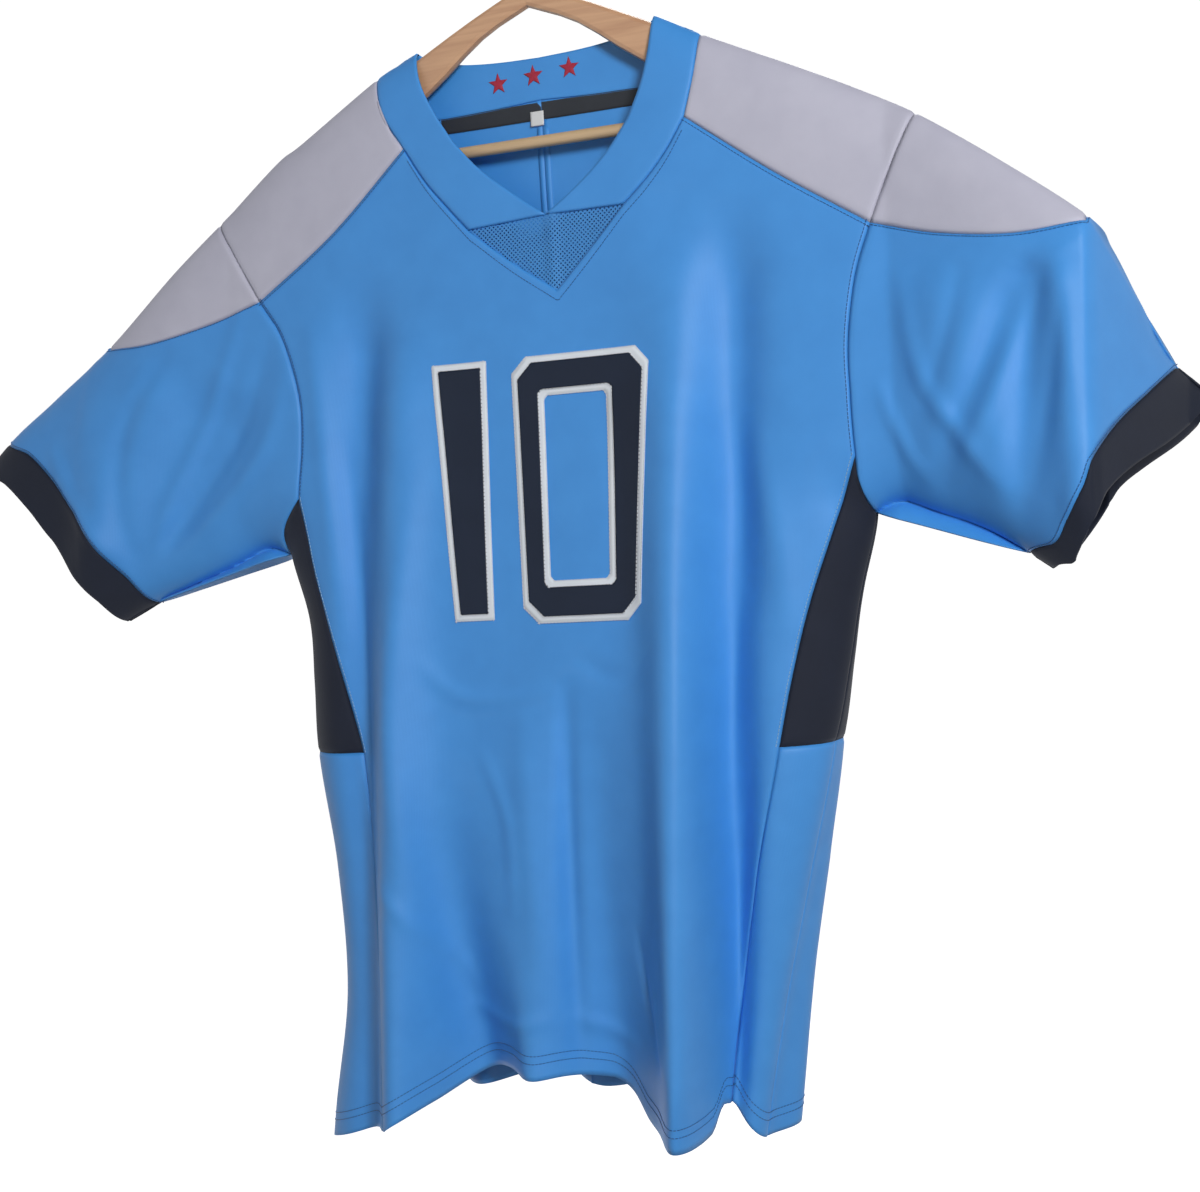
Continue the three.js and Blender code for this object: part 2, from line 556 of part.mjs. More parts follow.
// Front: one piece from hem to yokes, cut to a vee at the neck
function frontGrid() {
  const { left, right } = seam;
  const side = (s) => hemmed(joined(s.front.lower, s.front.upper, s.front.armhole));
  const vee = (sign) => seamThrough([VEE_TIP, ...[...runs(sign).vee, points(sign).veeCorner].map((p) => mirror(p, sign))],
    even(ALONG.vee), true);
  const rise = (sign) => frontCollarSeam(sign).slice(0, ALONG.collarFront + 1);
  const top = joined(left.front.yoke, reversed(rise(-1)), reversed(vee(-1)), vee(1), rise(1), reversed(right.front.yoke));
  const leftSide = side(left);
  const rightSide = side(right);
  const columnShares = shares(top.map((p) => new THREE.Vector3(p.x, 0, 0)));
  const bottom = columnShares.map((u) => {
    const x = lerp(leftSide[0].x, rightSide[0].x, u);
    return cloth(x, hemAt(x, true), true);
  });
  const grid = between(bottom, top, leftSide, rightSide, shares(leftSide), columnShares, true, alongRidge);
  grid[0] = bottom.map((p, i) => {
    if (i === 0) return leftSide[0];
    if (i === bottom.length - 1) return rightSide[0];
    const x = alongRidge(p.x, HEM);
    return cloth(x, hemAt(x, true), true);
  });
  return grid;
}

// Moves a place sideways so that the front's grid lines run down the big ridge instead of across it
const RIDGE_SHARE = 0.82;
function alongRidge(x, z) {
  const ridge = FRONT_FOLDS.find((fold) => fold.name === 'right ridge');
  const t = THREE.MathUtils.clamp((ridge.top - z) / (ridge.top - HEM), 0, 1);
  const left = body.leftSeam(z);
  const right = body.rightSeam(z);
  const crest = (lerp(ridge.x, ridge.xEnd, t) - left) / (right - left);
  const share = (x - left) / (right - left);
  const bent = share < RIDGE_SHARE ? (share * crest) / RIDGE_SHARE
    : crest + ((share - RIDGE_SHARE) * (1 - crest)) / (1 - RIDGE_SHARE);
  return left + (right - left) * lerp(share, bent, THREE.MathUtils.smoothstep(-z, 470, 620));
}
panel('front', frontGrid(), blue, { hemRows: 2 });

// Back: two halves joined by a seam down the middle, which drifts to the viewer's left towards the hem
const BACK_DRIFT = -22;
const backSide = (s) => hemmed(joined(s.back.lower, s.back.upper, s.back.armhole));
const backRows = [shares(backSide(seam.left)), shares(backSide(seam.right))];
const middle = backRows[0].map((v, j) => {
  const up = (v + backRows[1][j]) / 2;
  const x = BACK_DRIFT * (1 - up);
  return cloth(x, lerp(hemAt(x, false), BACK_COLLAR[1], up), false);
});
function backGrid(side) {
  const s = seam[sideName(side)].back;
  const outer = backSide(seam[sideName(side)]);
  const top = joined(backCollarSeam(side).slice(0, ACROSS.collarBack + 1), reversed(s.yoke));
  const rowShares = shares(outer);
  const columnShares = shares(top.map((p) => new THREE.Vector3(p.x, 0, 0)));
  const bottom = columnShares.map((u) => {
    const x = lerp(middle[0].x, outer[0].x, u);
    return cloth(x, hemAt(x, false), false);
  });
  bottom[0] = middle[0];
  bottom[bottom.length - 1] = outer[0];
  return between(bottom, top, middle, outer, rowShares, columnShares, false);
}
for (const side of [-1, 1]) {
  panel(`back_${sideName(side)}`, backGrid(side), blue, { flip: side > 0, hemRows: 2 });
}

// Side panels: a dark insert under each arm and a blue panel below it, each in a front and a back piece
function flankPanel(name, side, front, seamLine, edgeLine, topLine, material, hemRows) {
  const columns = even(ALONG.insertTop).map((t) => 1 - (1 - t) ** 2);
  const grid = seamLine.map((p, j) => columns.map((u, i) => {
    const q = edgeLine[j];
    if (topLine && j === seamLine.length - 1) return topLine[i];
    if (u === 0) return p;
    return u === 1 ? q : cloth(lerp(p.x, q.x, u), lerp(p.z, q.z, u), front);
  }));
  panel(name, grid, material, { flip: (side > 0) !== front, hemRows });
}
for (const side of [-1, 1]) {
  for (const front of [true, false]) {
    const face = front ? 'front' : 'back';
    const s = seam[sideName(side)][face];
    const name = `side_${face}_${sideName(side)}`;
    flankPanel(`${name}_lower`, side, front, hemmed(s.lower), hemmed(s.flankLower), null, blue, 2);
    flankPanel(`${name}_insert`, side, front, s.upper, s.flankUpper, s.insertTop, navy, 0);
  }
}

// Shoulder yokes run over the hanger from the front seam to the back seam in one piece
function overLine(front, back) {
  return joined(reversed(front), back);
}
for (const side of [-1, 1]) {
  const { front, back } = seam[sideName(side)];
  const collarSide = overLine(front.overCollar, back.overCollar);
  const armSide = overLine(front.overArm, back.overArm);
  const grid = collarSide.map((p, j) => front.yoke.map((_, i) => {
    const u = i / ALONG.yoke;
    const q = armSide[j];
    if (j === 0) return reversed(front.yoke)[i];
    if (j === collarSide.length - 1) return reversed(back.yoke)[i];
    if (i === 0) return p;
    if (i === ALONG.yoke) return q;
    const t = Math.abs(j - ALONG.over) / ALONG.over;
    const isFront = j <= ALONG.over;
    const low = reversed(isFront ? front.yoke : back.yoke)[i];
    const topLine = shoulderPoint(lerp(points(side).collarTop[0], points(side).armTop[0], u), side);
    return cloth(lerp(topLine.x, low.x, t * t), lerp(topLine.z, low.z, t * t), isFront, t === 0);
  }));
  panel(`yoke_${sideName(side)}`, grid, grey, { flip: side < 0 });
}

// The shoulder line's own point at a distance from the middle
function shoulderPoint(x, side) {
  const line = outlines[side > 0 ? 0 : 1];
  for (let i = 0; i + 1 < line.length; i += 1) {
    const a = Math.abs(line[i][0]);
    const b = Math.abs(line[i + 1][0]);
    if (x >= a && x <= b) return { x: side * x, z: lerp(line[i][1], line[i + 1][1], (x - a) / (b - a)) };
  }
  return null;
}

function capTop(side) {
  const [x, z] = points(side).capTip;
  return cloth(side * x, z, true, true);
}

// Sleeve caps: grey leaves that carry the yoke's colour out to a point on each sleeve
for (const side of [-1, 1]) {
  const { front, back } = seam[sideName(side)];
  const armSide = overLine(front.overArm, back.overArm);
  const grid = front.cap.map((_, j) => armSide.map((p, i) => {
    if (j === 0) return p;
    if (i === 0) return front.cap[j];
    if (i === armSide.length - 1) return back.cap[j];
    const t = Math.abs(i - ALONG.over) / ALONG.over;
    const isFront = i <= ALONG.over;
    const low = (isFront ? front.cap : back.cap)[j];
    if (j === ALONG.cap) return capTop(side).lerp(low, t);
    const top = shoulderPoint(lerp(points(side).armTop[0], points(side).capTip[0], j / ALONG.cap), side);
    return cloth(lerp(top.x, low.x, t * t), lerp(top.z, low.z, t * t), isFront, t === 0);
  }));
  panel(`sleeve_cap_${sideName(side)}`, grid, grey, { flip: side > 0 });
}

// Sleeves: one piece from the underarm seam over the top and back, round the cap
function cuffRing(side, out, inward) {
  const { cuffTop, cuffLow } = sleeve(side);
  const hand = sideName(side);
  const count = 2 * (ALONG.insertTop + ALONG.armhole + ALONG.cap + 1);
  const places = even(count).map((t) => (1 - Math.cos(Math.PI * Math.min(t, 1 - t) * 2)) / 2);
  return places.map((share, i) => {
    const isFront = i <= count / 2;
    const away = new THREE.Vector2(cuffRun[hand].x(share), cuffRun[hand].z(share));
    const bow = cuffBow[hand](share) * (isFront ? 1 : BACK_BOW);
    const shift = away.clone().multiplyScalar(out + bow / away.length());
    const x = lerp(cuffLow[0], cuffTop[0], share) + shift.x;
    const z = lerp(cuffLow[1], cuffTop[1], share) + shift.y;
    const p = cloth(side * x, z, isFront, share === 0 || share === 1);
    p.y = lerp(p.y, sleeveStand(side * x), inward);
    return p;
  });
}
for (const side of [-1, 1]) {
  const { front, back } = seam[sideName(side)];
  const half1 = joined(reversed(front.insertTop), front.armhole, front.cap);
  const half2 = joined(reversed(back.insertTop), back.armhole, back.cap);
  const inner = [...half1, capTop(side), ...reversed(half2)];
  const ring = cuffRing(side, 0, 0);
  const grid = even(ACROSS.sleeve).map((v, j) => inner.map((p, i) => {
    if (j === 0) return p;
    if (j === ACROSS.sleeve) return ring[i];
    const q = ring[i];
    const isFront = i < inner.length / 2;
    if (i === 0 || i === inner.length - 1) {
      const low = underarmPoint(v, side);
      return cloth(low.x, low.z, isFront, true);
    }
    if (i === (inner.length - 1) / 2) {
      const top = shoulderPoint(lerp(points(side).capTip[0], sleeve(side).cuffTop[0], v), side);
      return cloth(top.x, top.z, true, true);
    }
    return cloth(lerp(p.x, q.x, v), lerp(p.z, q.z, v), isFront);
  }));
  panel(`sleeve_${sideName(side)}`, grid, blue, { flip: side > 0 });
}
function underarmPoint(v, side) {
  const line = curveThrough([points(side).pit, ...sleeve(side).underarm, sleeve(side).cuffLow], ACROSS.sleeve);
  const p = line[Math.round(v * ACROSS.sleeve)];
  return { x: side * p.x, z: p.z };
}

// Cuffs: dark bands of double cloth, sewn to the sleeve's end
const CUFF_DRAW_IN = 0.06; // the cuff's free edge is this much flatter than its seam
for (const side of [-1, 1]) {
  const grid = even(ACROSS.cuff).map((v) => cuffRing(side, v, v * CUFF_DRAW_IN));
  panel(`cuff_${sideName(side)}`, grid, navy, { flip: side > 0, cloth: FOLDED_CLOTH });
}

// Collar: one band of double cloth from the vee over both shoulders and round the back of the neck
function collarGrid() {
  const ring = (seamOf, backOf) => joined(seamOf(-1), reversed(backOf(-1)), backOf(1), reversed(seamOf(1)));
  const outer = ring(frontCollarSeam, backCollarSeam);
  const inner = ring(frontNeckline, backNeckline);
  const frontCount = ALONG.collarFront + ALONG.over;
  const last = outer.length - 1;
  return outer.map((p, i) => even(ACROSS.collar).map((t, k) => {
    const q = inner[i];
    if (k === 0) return p;
    if (k === ACROSS.collar) return q;
    const isFront = i < frontCount || i > last - frontCount;
    if (i === frontCount || i === last - frontCount) return new THREE.Vector3(...shoulderMiddle(p, q, t));
    return cloth(lerp(p.x, q.x, t), lerp(p.z, q.z, t), isFront);
  }));
}
function shoulderMiddle(p, q, t) {
  const s = shoulderPoint(Math.abs(lerp(p.x, q.x, t)), Math.sign(p.x));
  return [s.x, 0, s.z];
}
panel('collar', collarGrid(), blue, { cloth: FOLDED_CLOTH });

// Mesh gusset: the small triangle of open knit that fills the bottom of the vee
const GUSSET_FOOT = 1.2; // half width at its lowest point, where it is trimmed square
function gussetGrid() {
  const vee = (sign) => seamThrough([[VEE_TIP[0] + sign * GUSSET_FOOT, VEE_TIP[1] + 1],
    ...[...runs(sign).vee, points(sign).veeCorner].map((p) => mirror(p, sign))], even(ALONG.vee), true);
  const left = vee(-1);
  const right = vee(1);
  const columns = even(2 * ALONG.vee);
  return left.map((p, j) => columns.map((u, i) => {
    if (i === 0) return p;
    if (i === columns.length - 1) return right[j];
    if (j < left.length - 1) return cloth(lerp(p.x, right[j].x, u), lerp(p.z, right[j].z, u), true);
    const corner = u < 0.5 ? p : right[j];
    const t = Math.abs(2 * u - 1);
    return cloth(lerp(VEE_INNER[0], corner.x, t), lerp(VEE_INNER[1], corner.z, t), true);
  }));
}
panel('mesh_gusset', gussetGrid(), blue);

for (const { name, grid, material, flip, thickness, hemRows } of panels) {
  const t = thickness / 2;
  jersey.add(mesh(name, wall(grid, -t, t, { flip, thicken: hemThickness(grid[0].length, hemRows), hem: hemRows > 0 }), material));
}

// Solids for cutting
function solidOf(geometry) {
  const joinedUp = mergeVertices(geometry, 1e-5);
  return new wasm.Manifold(new wasm.Mesh({
    numProp: 3,
    vertProperties: new Float32Array(joinedUp.getAttribute('position').array),
    triVerts: new Uint32Array(joinedUp.getIndex().array),
  }));
}
function geometryOf(solid) {
  const cut = solid.getMesh();
  const geometry = new THREE.BufferGeometry();
  const { numProp, vertProperties } = cut;
  const positions = [];
  for (let i = 0; i < vertProperties.length; i += numProp) positions.push(...vertProperties.slice(i, i + 3));
  geometry.setAttribute('position', new THREE.Float32BufferAttribute(positions, 3));
  geometry.setIndex([...cut.triVerts]);
  return geometry;
}
// A prism along Y whose section, seen from the front, is a list of outlines
function prism(outlinesXZ) {
  const section = new wasm.CrossSection(outlinesXZ, 'EvenOdd');
  return wasm.Manifold.extrude(section, 600).rotate([90, 0, 0]).translate([0, 300, 0]);
}

// Pieces that lie on a panel: its own points moved out by `inner` and `outer`, cut to an outline seen from the front
function overlay(name, panelNames, inner, outer, outlinesXZ, material) {
  let slab = null;
  for (const panelName of panelNames) {
    const { grid, flip } = panels.find((each) => each.name === panelName);
    const part = solidOf(wall(grid, inner, outer, { flip, trim: 0 }));
    slab = slab ? slab.add(part) : part;
  }
  jersey.add(mesh(name, geometryOf(slab.intersect(prism(outlinesXZ))), material));
}
const CLEAR = 0.3; // between a piece and the panel that it lies on
const APPLIED = 0.7; // thickness of the sewn figures and tapes

// Figures on the front: plain block numerals, each a dark face on a wider light edge
const EDGE = 4.5;
const FIGURES = {
  one: [{ top: [-87, -42], bottom: [-74, -42], levels: [-350, -545], corner: 0 }],
  zero: [
    { top: [-21, 93], bottom: [-17, 80], levels: [-350, -549], corner: 12 },
    { top: [5, 56], bottom: [6, 54], levels: [-380, -518], corner: 3 },
  ],
};
function block({ top, bottom, levels, corner }, inset) {
  const [t, b] = [levels[0] - inset, levels[1] + inset];
  const c = Math.max(corner, 0.5);
  const side = (k, z) => lerp(bottom[k], top[k], (z - levels[1]) / (levels[0] - levels[1])) + (k ? -inset : inset);
  return [[side(0, b) + c, b], [side(1, b) - c, b], [side(1, b + c), b + c], [side(1, t - c), t - c],
    [side(1, t) - c, t], [side(0, t) + c, t], [side(0, t - c), t - c], [side(0, b + c), b + c]];
}
for (const [name, blocks] of Object.entries(FIGURES)) {
  const rings = (inset) => blocks.map((each, i) => block(each, i === 0 ? inset : -inset));
  const base = half + CLEAR;
  const face = base + APPLIED + CLEAR;
  overlay(`digit_${name}_edge`, ['front'], base, base + APPLIED, rings(0), white);
  overlay(`digit_${name}`, ['front'], face, face + APPLIED, rings(EDGE), navy);
}

// Inside the back of the neck: three embroidered stars on the collar, a tape below its seam and a small label
const COLLAR_INSIDE = -(FOLDED_CLOTH / 2 + CLEAR);
const BACK_INSIDE = -(half + CLEAR);
const STAR = { size: 8.5, spacing: 30, x: -5, z: -134, tilt: 0.06 };
function starOutline(x, z, radius) {
  return Array.from({ length: 10 }, (_, i) => {
    const r = i % 2 === 0 ? radius : radius * 0.42;
    const a = Math.PI / 2 + (i * Math.PI) / 5;
    return [x + r * Math.cos(a), z + r * Math.sin(a)];
  });
}
[-1, 0, 1].forEach((place) => {
  const x = STAR.x + place * STAR.spacing;
  const name = `star_${['left', 'middle', 'right'][place + 1]}`;
  overlay(name, ['collar'], COLLAR_INSIDE - APPLIED, COLLAR_INSIDE, [starOutline(x, STAR.z + STAR.tilt * (x - STAR.x),
    STAR.size)], red);
});
const TAPE = { top: -154.5, height: 13, halfWidth: 86 };
const tapeOutline = [[-TAPE.halfWidth, TAPE.top - TAPE.height], [TAPE.halfWidth, TAPE.top - TAPE.height],
  [TAPE.halfWidth, TAPE.top], [-TAPE.halfWidth, TAPE.top]];
overlay('neck_tape', ['back_left', 'back_right'], BACK_INSIDE - APPLIED, BACK_INSIDE, [tapeOutline], charcoal);

// The middle seam's own strip, inside the back from the tape down to the turned-up hem
const STRIP = { halfWidth: 5, top: TAPE.top - TAPE.height - 1 };
function stripGrid() {
  const rows = grids.back_left.length;
  const picked = [];
  for (let j = 2; j < rows; j += 1) {
    const [l, m, r] = [grids.back_left[j][1], grids.back_left[j][0], grids.back_right[j][1]];
    const towards = (q) => m.clone().lerp(q, STRIP.halfWidth / m.distanceTo(q));
    if (m.z < STRIP.top - 2) picked.push([towards(l), m.clone(), towards(r)]);
  }
  return picked;
}
jersey.add(mesh('back_seam_tape', wall(stripGrid(), BACK_INSIDE - APPLIED, BACK_INSIDE - 0.1, { flip: true, trim: 0 }),
  blue));

// Blank label, hanging from the tape in front of its lower edge
const LABEL = { x: -4, top: -161, width: 11, height: 11, thickness: 0.5 };
const label = new THREE.BoxGeometry(LABEL.width, LABEL.thickness, LABEL.height);
label.translate(LABEL.x, cloth(LABEL.x, LABEL.top, false).y - half - APPLIED - 2 * CLEAR - 0.9, LABEL.top - LABEL.height / 2);
jersey.add(mesh('label', label, white));

// Hanger: shaped wooden arms, a round bar between them and a steel hook
const HANGER = { thickness: 9, round: 3.5, barRadius: 4.5, barLevel: -187, barEnd: 208, wire: 1.9, hookRadius: 21 };
function hangerOutline() {
  const upper = [[0, -68], [50, -89.5], [99, -113], [160, -142.8], [215, -170.8], [230, -183.4]];
  const lower = [[226, -205], [205, -204], [150, -173], [90, -140], [40, -104], [0, -86]];
  const rightHalf = new THREE.CatmullRomCurve3([...upper, ...lower].map(([x, z]) => new THREE.Vector3(x, z, 0)),
    false, 'catmullrom', 0.5).getPoints(33);
  const leftHalf = [...rightHalf].reverse().slice(1, -1).map((p) => new THREE.Vector3(-p.x, p.y, 0));
  return [...rightHalf, ...leftHalf];
}
function woodGeometry() {
  const shape = new THREE.Shape(hangerOutline().map((p) => new THREE.Vector2(p.x, p.y)));
  const bevel = HANGER.round;
  const geometry = new THREE.ExtrudeGeometry(shape, {
    depth: HANGER.thickness - 2 * bevel, bevelEnabled: true, bevelThickness: bevel, bevelSize: bevel,
    bevelOffset: -bevel, bevelSegments: 2, curveSegments: 1,
  });
  geometry.rotateX(Math.PI / 2);
  geometry.translate(0, HANGER.thickness / 2 - bevel, 0);
  const bare = new THREE.BufferGeometry();
  bare.setAttribute('position', geometry.getAttribute('position'));
  const indexed = mergeVertices(bare, 1e-4);
  const hole = wasm.Manifold.cylinder(2 * HANGER.barEnd, HANGER.barRadius + 0.15, HANGER.barRadius + 0.15, 20, true)
    .rotate([0, 90, 0]).translate([0, 0, HANGER.barLevel]);
  const stem = wasm.Manifold.cylinder(30, HANGER.wire + 0.15, HANGER.wire + 0.15, 12, false).translate([0, 0, -79]);
  return geometryOf(solidOf(indexed).subtract(hole).subtract(stem));
}
jersey.add(mesh('hanger_wood', woodGeometry(), wood));

const bar = new THREE.CylinderGeometry(HANGER.barRadius, HANGER.barRadius, 2 * HANGER.barEnd - 1, 20);
bar.rotateZ(Math.PI / 2);
bar.translate(0, 0, HANGER.barLevel);
jersey.add(mesh('hanger_bar', bar, wood));

// The hook's wire: up out of the wood, round to one side and over the rail to a short upturned tip
function hookGeometry() {
  const r = HANGER.hookRadius + HANGER.wire - 2;
  const centre = -r + HANGER.wire;
  const around = [-62, -20, 25, 60, 90, 125, 160, 195, 215].map((degrees) => {
    const a = THREE.MathUtils.degToRad(degrees);
    return new THREE.Vector3(r * Math.cos(a), 0, centre + r * Math.sin(a));
  });
  const path = new THREE.CatmullRomCurve3([new THREE.Vector3(0, 0, -78), new THREE.Vector3(0, 0, -66),
    new THREE.Vector3(0, 0, -54), new THREE.Vector3(2.5, 0, -46), ...around], false, 'centripetal');
  const rings = 40;
  const sides = 8;
  const frames = path.computeFrenetFrames(rings, false);
  const grid = even(rings).map((t, j) => {
    const p = path.getPointAt(t);
    return Array.from({ length: sides }, (_, i) => {
      const a = (i / sides) * 2 * Math.PI;
      return p.clone().addScaledVector(frames.normals[j], HANGER.wire * Math.cos(a))
        .addScaledVector(frames.binormals[j], HANGER.wire * Math.sin(a));
    });
  });
  const vertices = [...grid.flat(), path.getPoint(0), path.getPoint(1)].flatMap((p) => p.toArray());
  const faces = [];
  const id = (j, i) => j * sides + (i % sides);
  const foot = (rings + 1) * sides;
  for (let i = 0; i < sides; i += 1) {
    for (let j = 0; j < rings; j += 1) {
      faces.push(id(j, i), id(j, i + 1), id(j + 1, i + 1), id(j, i), id(j + 1, i + 1), id(j + 1, i));
    }
    faces.push(foot, id(0, i + 1), id(0, i), foot + 1, id(rings, i), id(rings, i + 1));
  }
  const geometry = new THREE.BufferGeometry();
  geometry.setAttribute('position', new THREE.Float32BufferAttribute(vertices, 3));
  geometry.setIndex(faces);
  return geometry;
}
jersey.add(mesh('hanger_hook', hookGeometry(), steel));

export default jersey;
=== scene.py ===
import math
import bmesh
import bpy
import numpy as np
from mathutils import Matrix, Vector


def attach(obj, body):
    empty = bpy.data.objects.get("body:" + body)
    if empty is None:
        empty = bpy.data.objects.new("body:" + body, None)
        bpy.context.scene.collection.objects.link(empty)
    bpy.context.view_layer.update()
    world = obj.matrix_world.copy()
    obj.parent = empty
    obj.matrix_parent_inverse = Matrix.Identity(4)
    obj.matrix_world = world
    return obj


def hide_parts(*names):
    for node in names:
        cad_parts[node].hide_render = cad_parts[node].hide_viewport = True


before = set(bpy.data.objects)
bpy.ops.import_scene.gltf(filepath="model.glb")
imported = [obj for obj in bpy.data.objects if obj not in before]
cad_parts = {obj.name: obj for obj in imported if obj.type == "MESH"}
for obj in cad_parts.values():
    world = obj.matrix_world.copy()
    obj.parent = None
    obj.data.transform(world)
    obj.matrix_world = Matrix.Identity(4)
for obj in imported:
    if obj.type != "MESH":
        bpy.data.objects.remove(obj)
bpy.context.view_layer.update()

# Studio
# A pale round cove below and all round the hanging jersey, a soft light from the front right, and weaker ones
# from the left and from behind. The camera stands a little to the right of the jersey's front, chest high.
SENSOR = 36.0
FRAME_WIDTH, FOCAL_PIXELS = 1200.0, 1918.0
CAMERA_TURN, CAMERA_RISE, CAMERA_ROLL = 23.07, 1.86, -3.59
LOOKED_AT, CAMERA_DISTANCE = (0.0285, 0.0, -0.5322), 1.45
camera_data = bpy.data.cameras.new("camera")
camera_data.sensor_width = SENSOR
camera_data.lens = SENSOR * FOCAL_PIXELS / FRAME_WIDTH
camera = bpy.data.objects.new("camera", camera_data)
bpy.context.scene.collection.objects.link(camera)
turn, rise, roll = (math.radians(degrees) for degrees in (CAMERA_TURN, CAMERA_RISE, CAMERA_ROLL))
backwards = Vector((math.sin(turn) * math.cos(rise), -math.cos(turn) * math.cos(rise), math.sin(rise)))
level = Vector((math.cos(turn), math.sin(turn), 0.0))
upright = backwards.cross(level)
across = math.cos(roll) * level + math.sin(roll) * upright
upwards = -math.sin(roll) * level + math.cos(roll) * upright
camera.matrix_world = Matrix((across, upwards, backwards)).transposed().to_4x4()
camera.location = Vector(LOOKED_AT) + CAMERA_DISTANCE * backwards
bpy.context.scene.camera = camera

JERSEY_MIDDLE = (0.0, 0.0, -0.5)


def soft_light(name, place, size, power, tint):
    """A round soft light that points at the jersey's middle; power in watts."""
    data = bpy.data.lights.new(name, "AREA")
    data.shape = "DISK"
    data.size = size
    data.energy = power
    data.color = tint
    lamp = bpy.data.objects.new(name, data)
    lamp.location = place
    lamp.rotation_euler = (Vector(place) - Vector(JERSEY_MIDDLE)).to_track_quat("Z", "Y").to_euler()
    bpy.context.scene.collection.objects.link(lamp)


soft_light("key light", (1.5, -1.9, 0.3), 0.6, 42.0, (1.0, 0.99, 0.98))
soft_light("fill light", (-1.6, -2.2, 0.2), 2.0, 1.2, (0.93, 0.96, 1.0))
soft_light("back light", (-0.5, 2.1, 1.5), 1.2, 26.0, (0.97, 0.98, 1.0))

world = bpy.data.worlds.new("studio")
world.use_nodes = True
world.node_tree.nodes["Background"].inputs["Color"].default_value = (1.0, 1.0, 1.0, 1.0)
world.node_tree.nodes["Background"].inputs["Strength"].default_value = 0.15
bpy.context.scene.world = world
bpy.context.scene.view_settings.view_transform = "Standard"

# the cove's distance from the middle and height, from the floor's centre out to the wall's top
COVE_STEPS = 64
cove_profile = [(0.01, -1.6), (1.5, -1.6), (3.6, -1.6), (4.4, -1.45), (4.85, -1.0), (5.0, -0.3), (5.0, 4.5)]
around = [2 * math.pi * i / COVE_STEPS for i in range(COVE_STEPS)]
levels_up = len(cove_profile)
sweep = bpy.data.meshes.new("sweep")
cove_faces = []
for i in range(COVE_STEPS):
    here, beyond = i * levels_up, (i + 1) % COVE_STEPS * levels_up
    cove_faces += [(here + k, here + k + 1, beyond + k + 1, beyond + k) for k in range(levels_up - 1)]
cove_points = [(r * math.cos(a), r * math.sin(a), z) for a in around for r, z in cove_profile]
sweep.from_pydata(cove_points, [], cove_faces)
sweep.shade_smooth()
sweep_object = bpy.data.objects.new("sweep", sweep)
bpy.context.scene.collection.objects.link(sweep_object)
paper = bpy.data.materials.new("white paper")
paper.use_nodes = True
paper_shader = paper.node_tree.nodes["Principled BSDF"]
paper_shader.inputs["Base Color"].default_value = (0.93, 0.93, 0.93, 1.0)
paper_shader.inputs["Roughness"].default_value = 1.0
paper_shader.inputs["Emission Color"].default_value = (1.0, 1.0, 1.0, 1.0)
paper_shader.inputs["Emission Strength"].default_value = 0.85
sweep.materials.append(paper)
sweep_object.visible_diffuse = False

# Front of the jersey
# One panel of smooth polyester knit, cut to a vee at the neck and turned up at the hem. Its folds hang from
# the shoulders. The tables hold the garment's outline, how far it swells, and each fold, in millimetres.

# side (1 is the viewer's right): named points of its seams, with x counted outwards from the middle
POINTS = {
    1: {
        "neck": (101, -109), "collar top": (136, -128), "yoke inner": (124, -188),
        "yoke inner back": (124, -160), "yoke outer": (258, -281), "yoke outer back": (266, -268),
        "arm top": (291, -208), "cap tip": (408, -297), "insert top": (240, -442), "pit": (246, -482),
        "vee corner": (74, -245),
    },
    -1: {
        "neck": (96, -106), "collar top": (132, -121), "yoke inner": (107, -180),
        "yoke inner back": (112, -154), "yoke outer": (242, -284), "yoke outer back": (251, -270),
        "arm top": (284, -216), "cap tip": (391, -305), "insert top": (212, -443), "pit": (237, -486),
        "vee corner": (54, -249),
    },
}
# side: further points that a seam runs through on its way
RUNS = {
    1: {
        "yoke": [(189, -236)], "armhole": [(239, -403), (239, -361), (246, -316)],
        "cap": [(306, -295), (360, -303)], "rise": [(94, -227), (110, -209)], "vee": [(47, -273)],
        "shoulder": [(205, -161.5), (251, -185)], "neckline": [(38, -226), (62, -205), (80, -183)],
        "neck": [(98, -136), (91, -160)],
    },
    -1: {
        "yoke": [(173, -238)], "armhole": [(207, -404), (208, -362), (222, -316)],
        "cap": [(290, -298), (345, -308)], "rise": [(70, -231), (90, -207)], "vee": [(20, -276)],
        "shoulder": [(203, -161), (228, -174)], "neckline": [(14, -227), (41, -205), (63, -181)],
        "neck": [(90, -132), (78, -157)],
    },
}
VEE_INNER, VEE_TIP = (11, -245), (18, -302)
BACK_NECK, BACK_COLLAR = (0, -121), (0, -153)
INSERT_END, HEM = -645, -938

# columns: height, left edge, left seam, right seam, right edge
BODY = np.array([
    (-483, -237, -206, 223, 246),
    (-540, -223, -194, 203, 231),
    (-590, -222, -181, 188, 220),
    (-645, -222, -168, 174, 206),
    (-735, -212, -162, 149, 183),
    (-838, -211, -156, 125, 157),
    (-938, -230, -155, 112, 136),
    (-1040, -244, -155, 100, 118),
], float)
# columns: height, depth in front, depth behind, how far in from the outline the cloth rounds to that depth,
# and how far the right side of the back hangs out beyond its side seam
SWELL = np.array([
    (-100, 11, 13, 40, 0),
    (-170, 14, 15, 44, 0),
    (-250, 18, 20, 56, 0),
    (-400, 28, 34, 75, 0),
    (-520, 37, 44, 75, 0),
    (-640, 42, 52, 75, 10),
    (-735, 41, 57, 75, 17),
    (-938, 36, 62, 75, 27),
    (-1040, 36, 62, 75, 27),
], float)
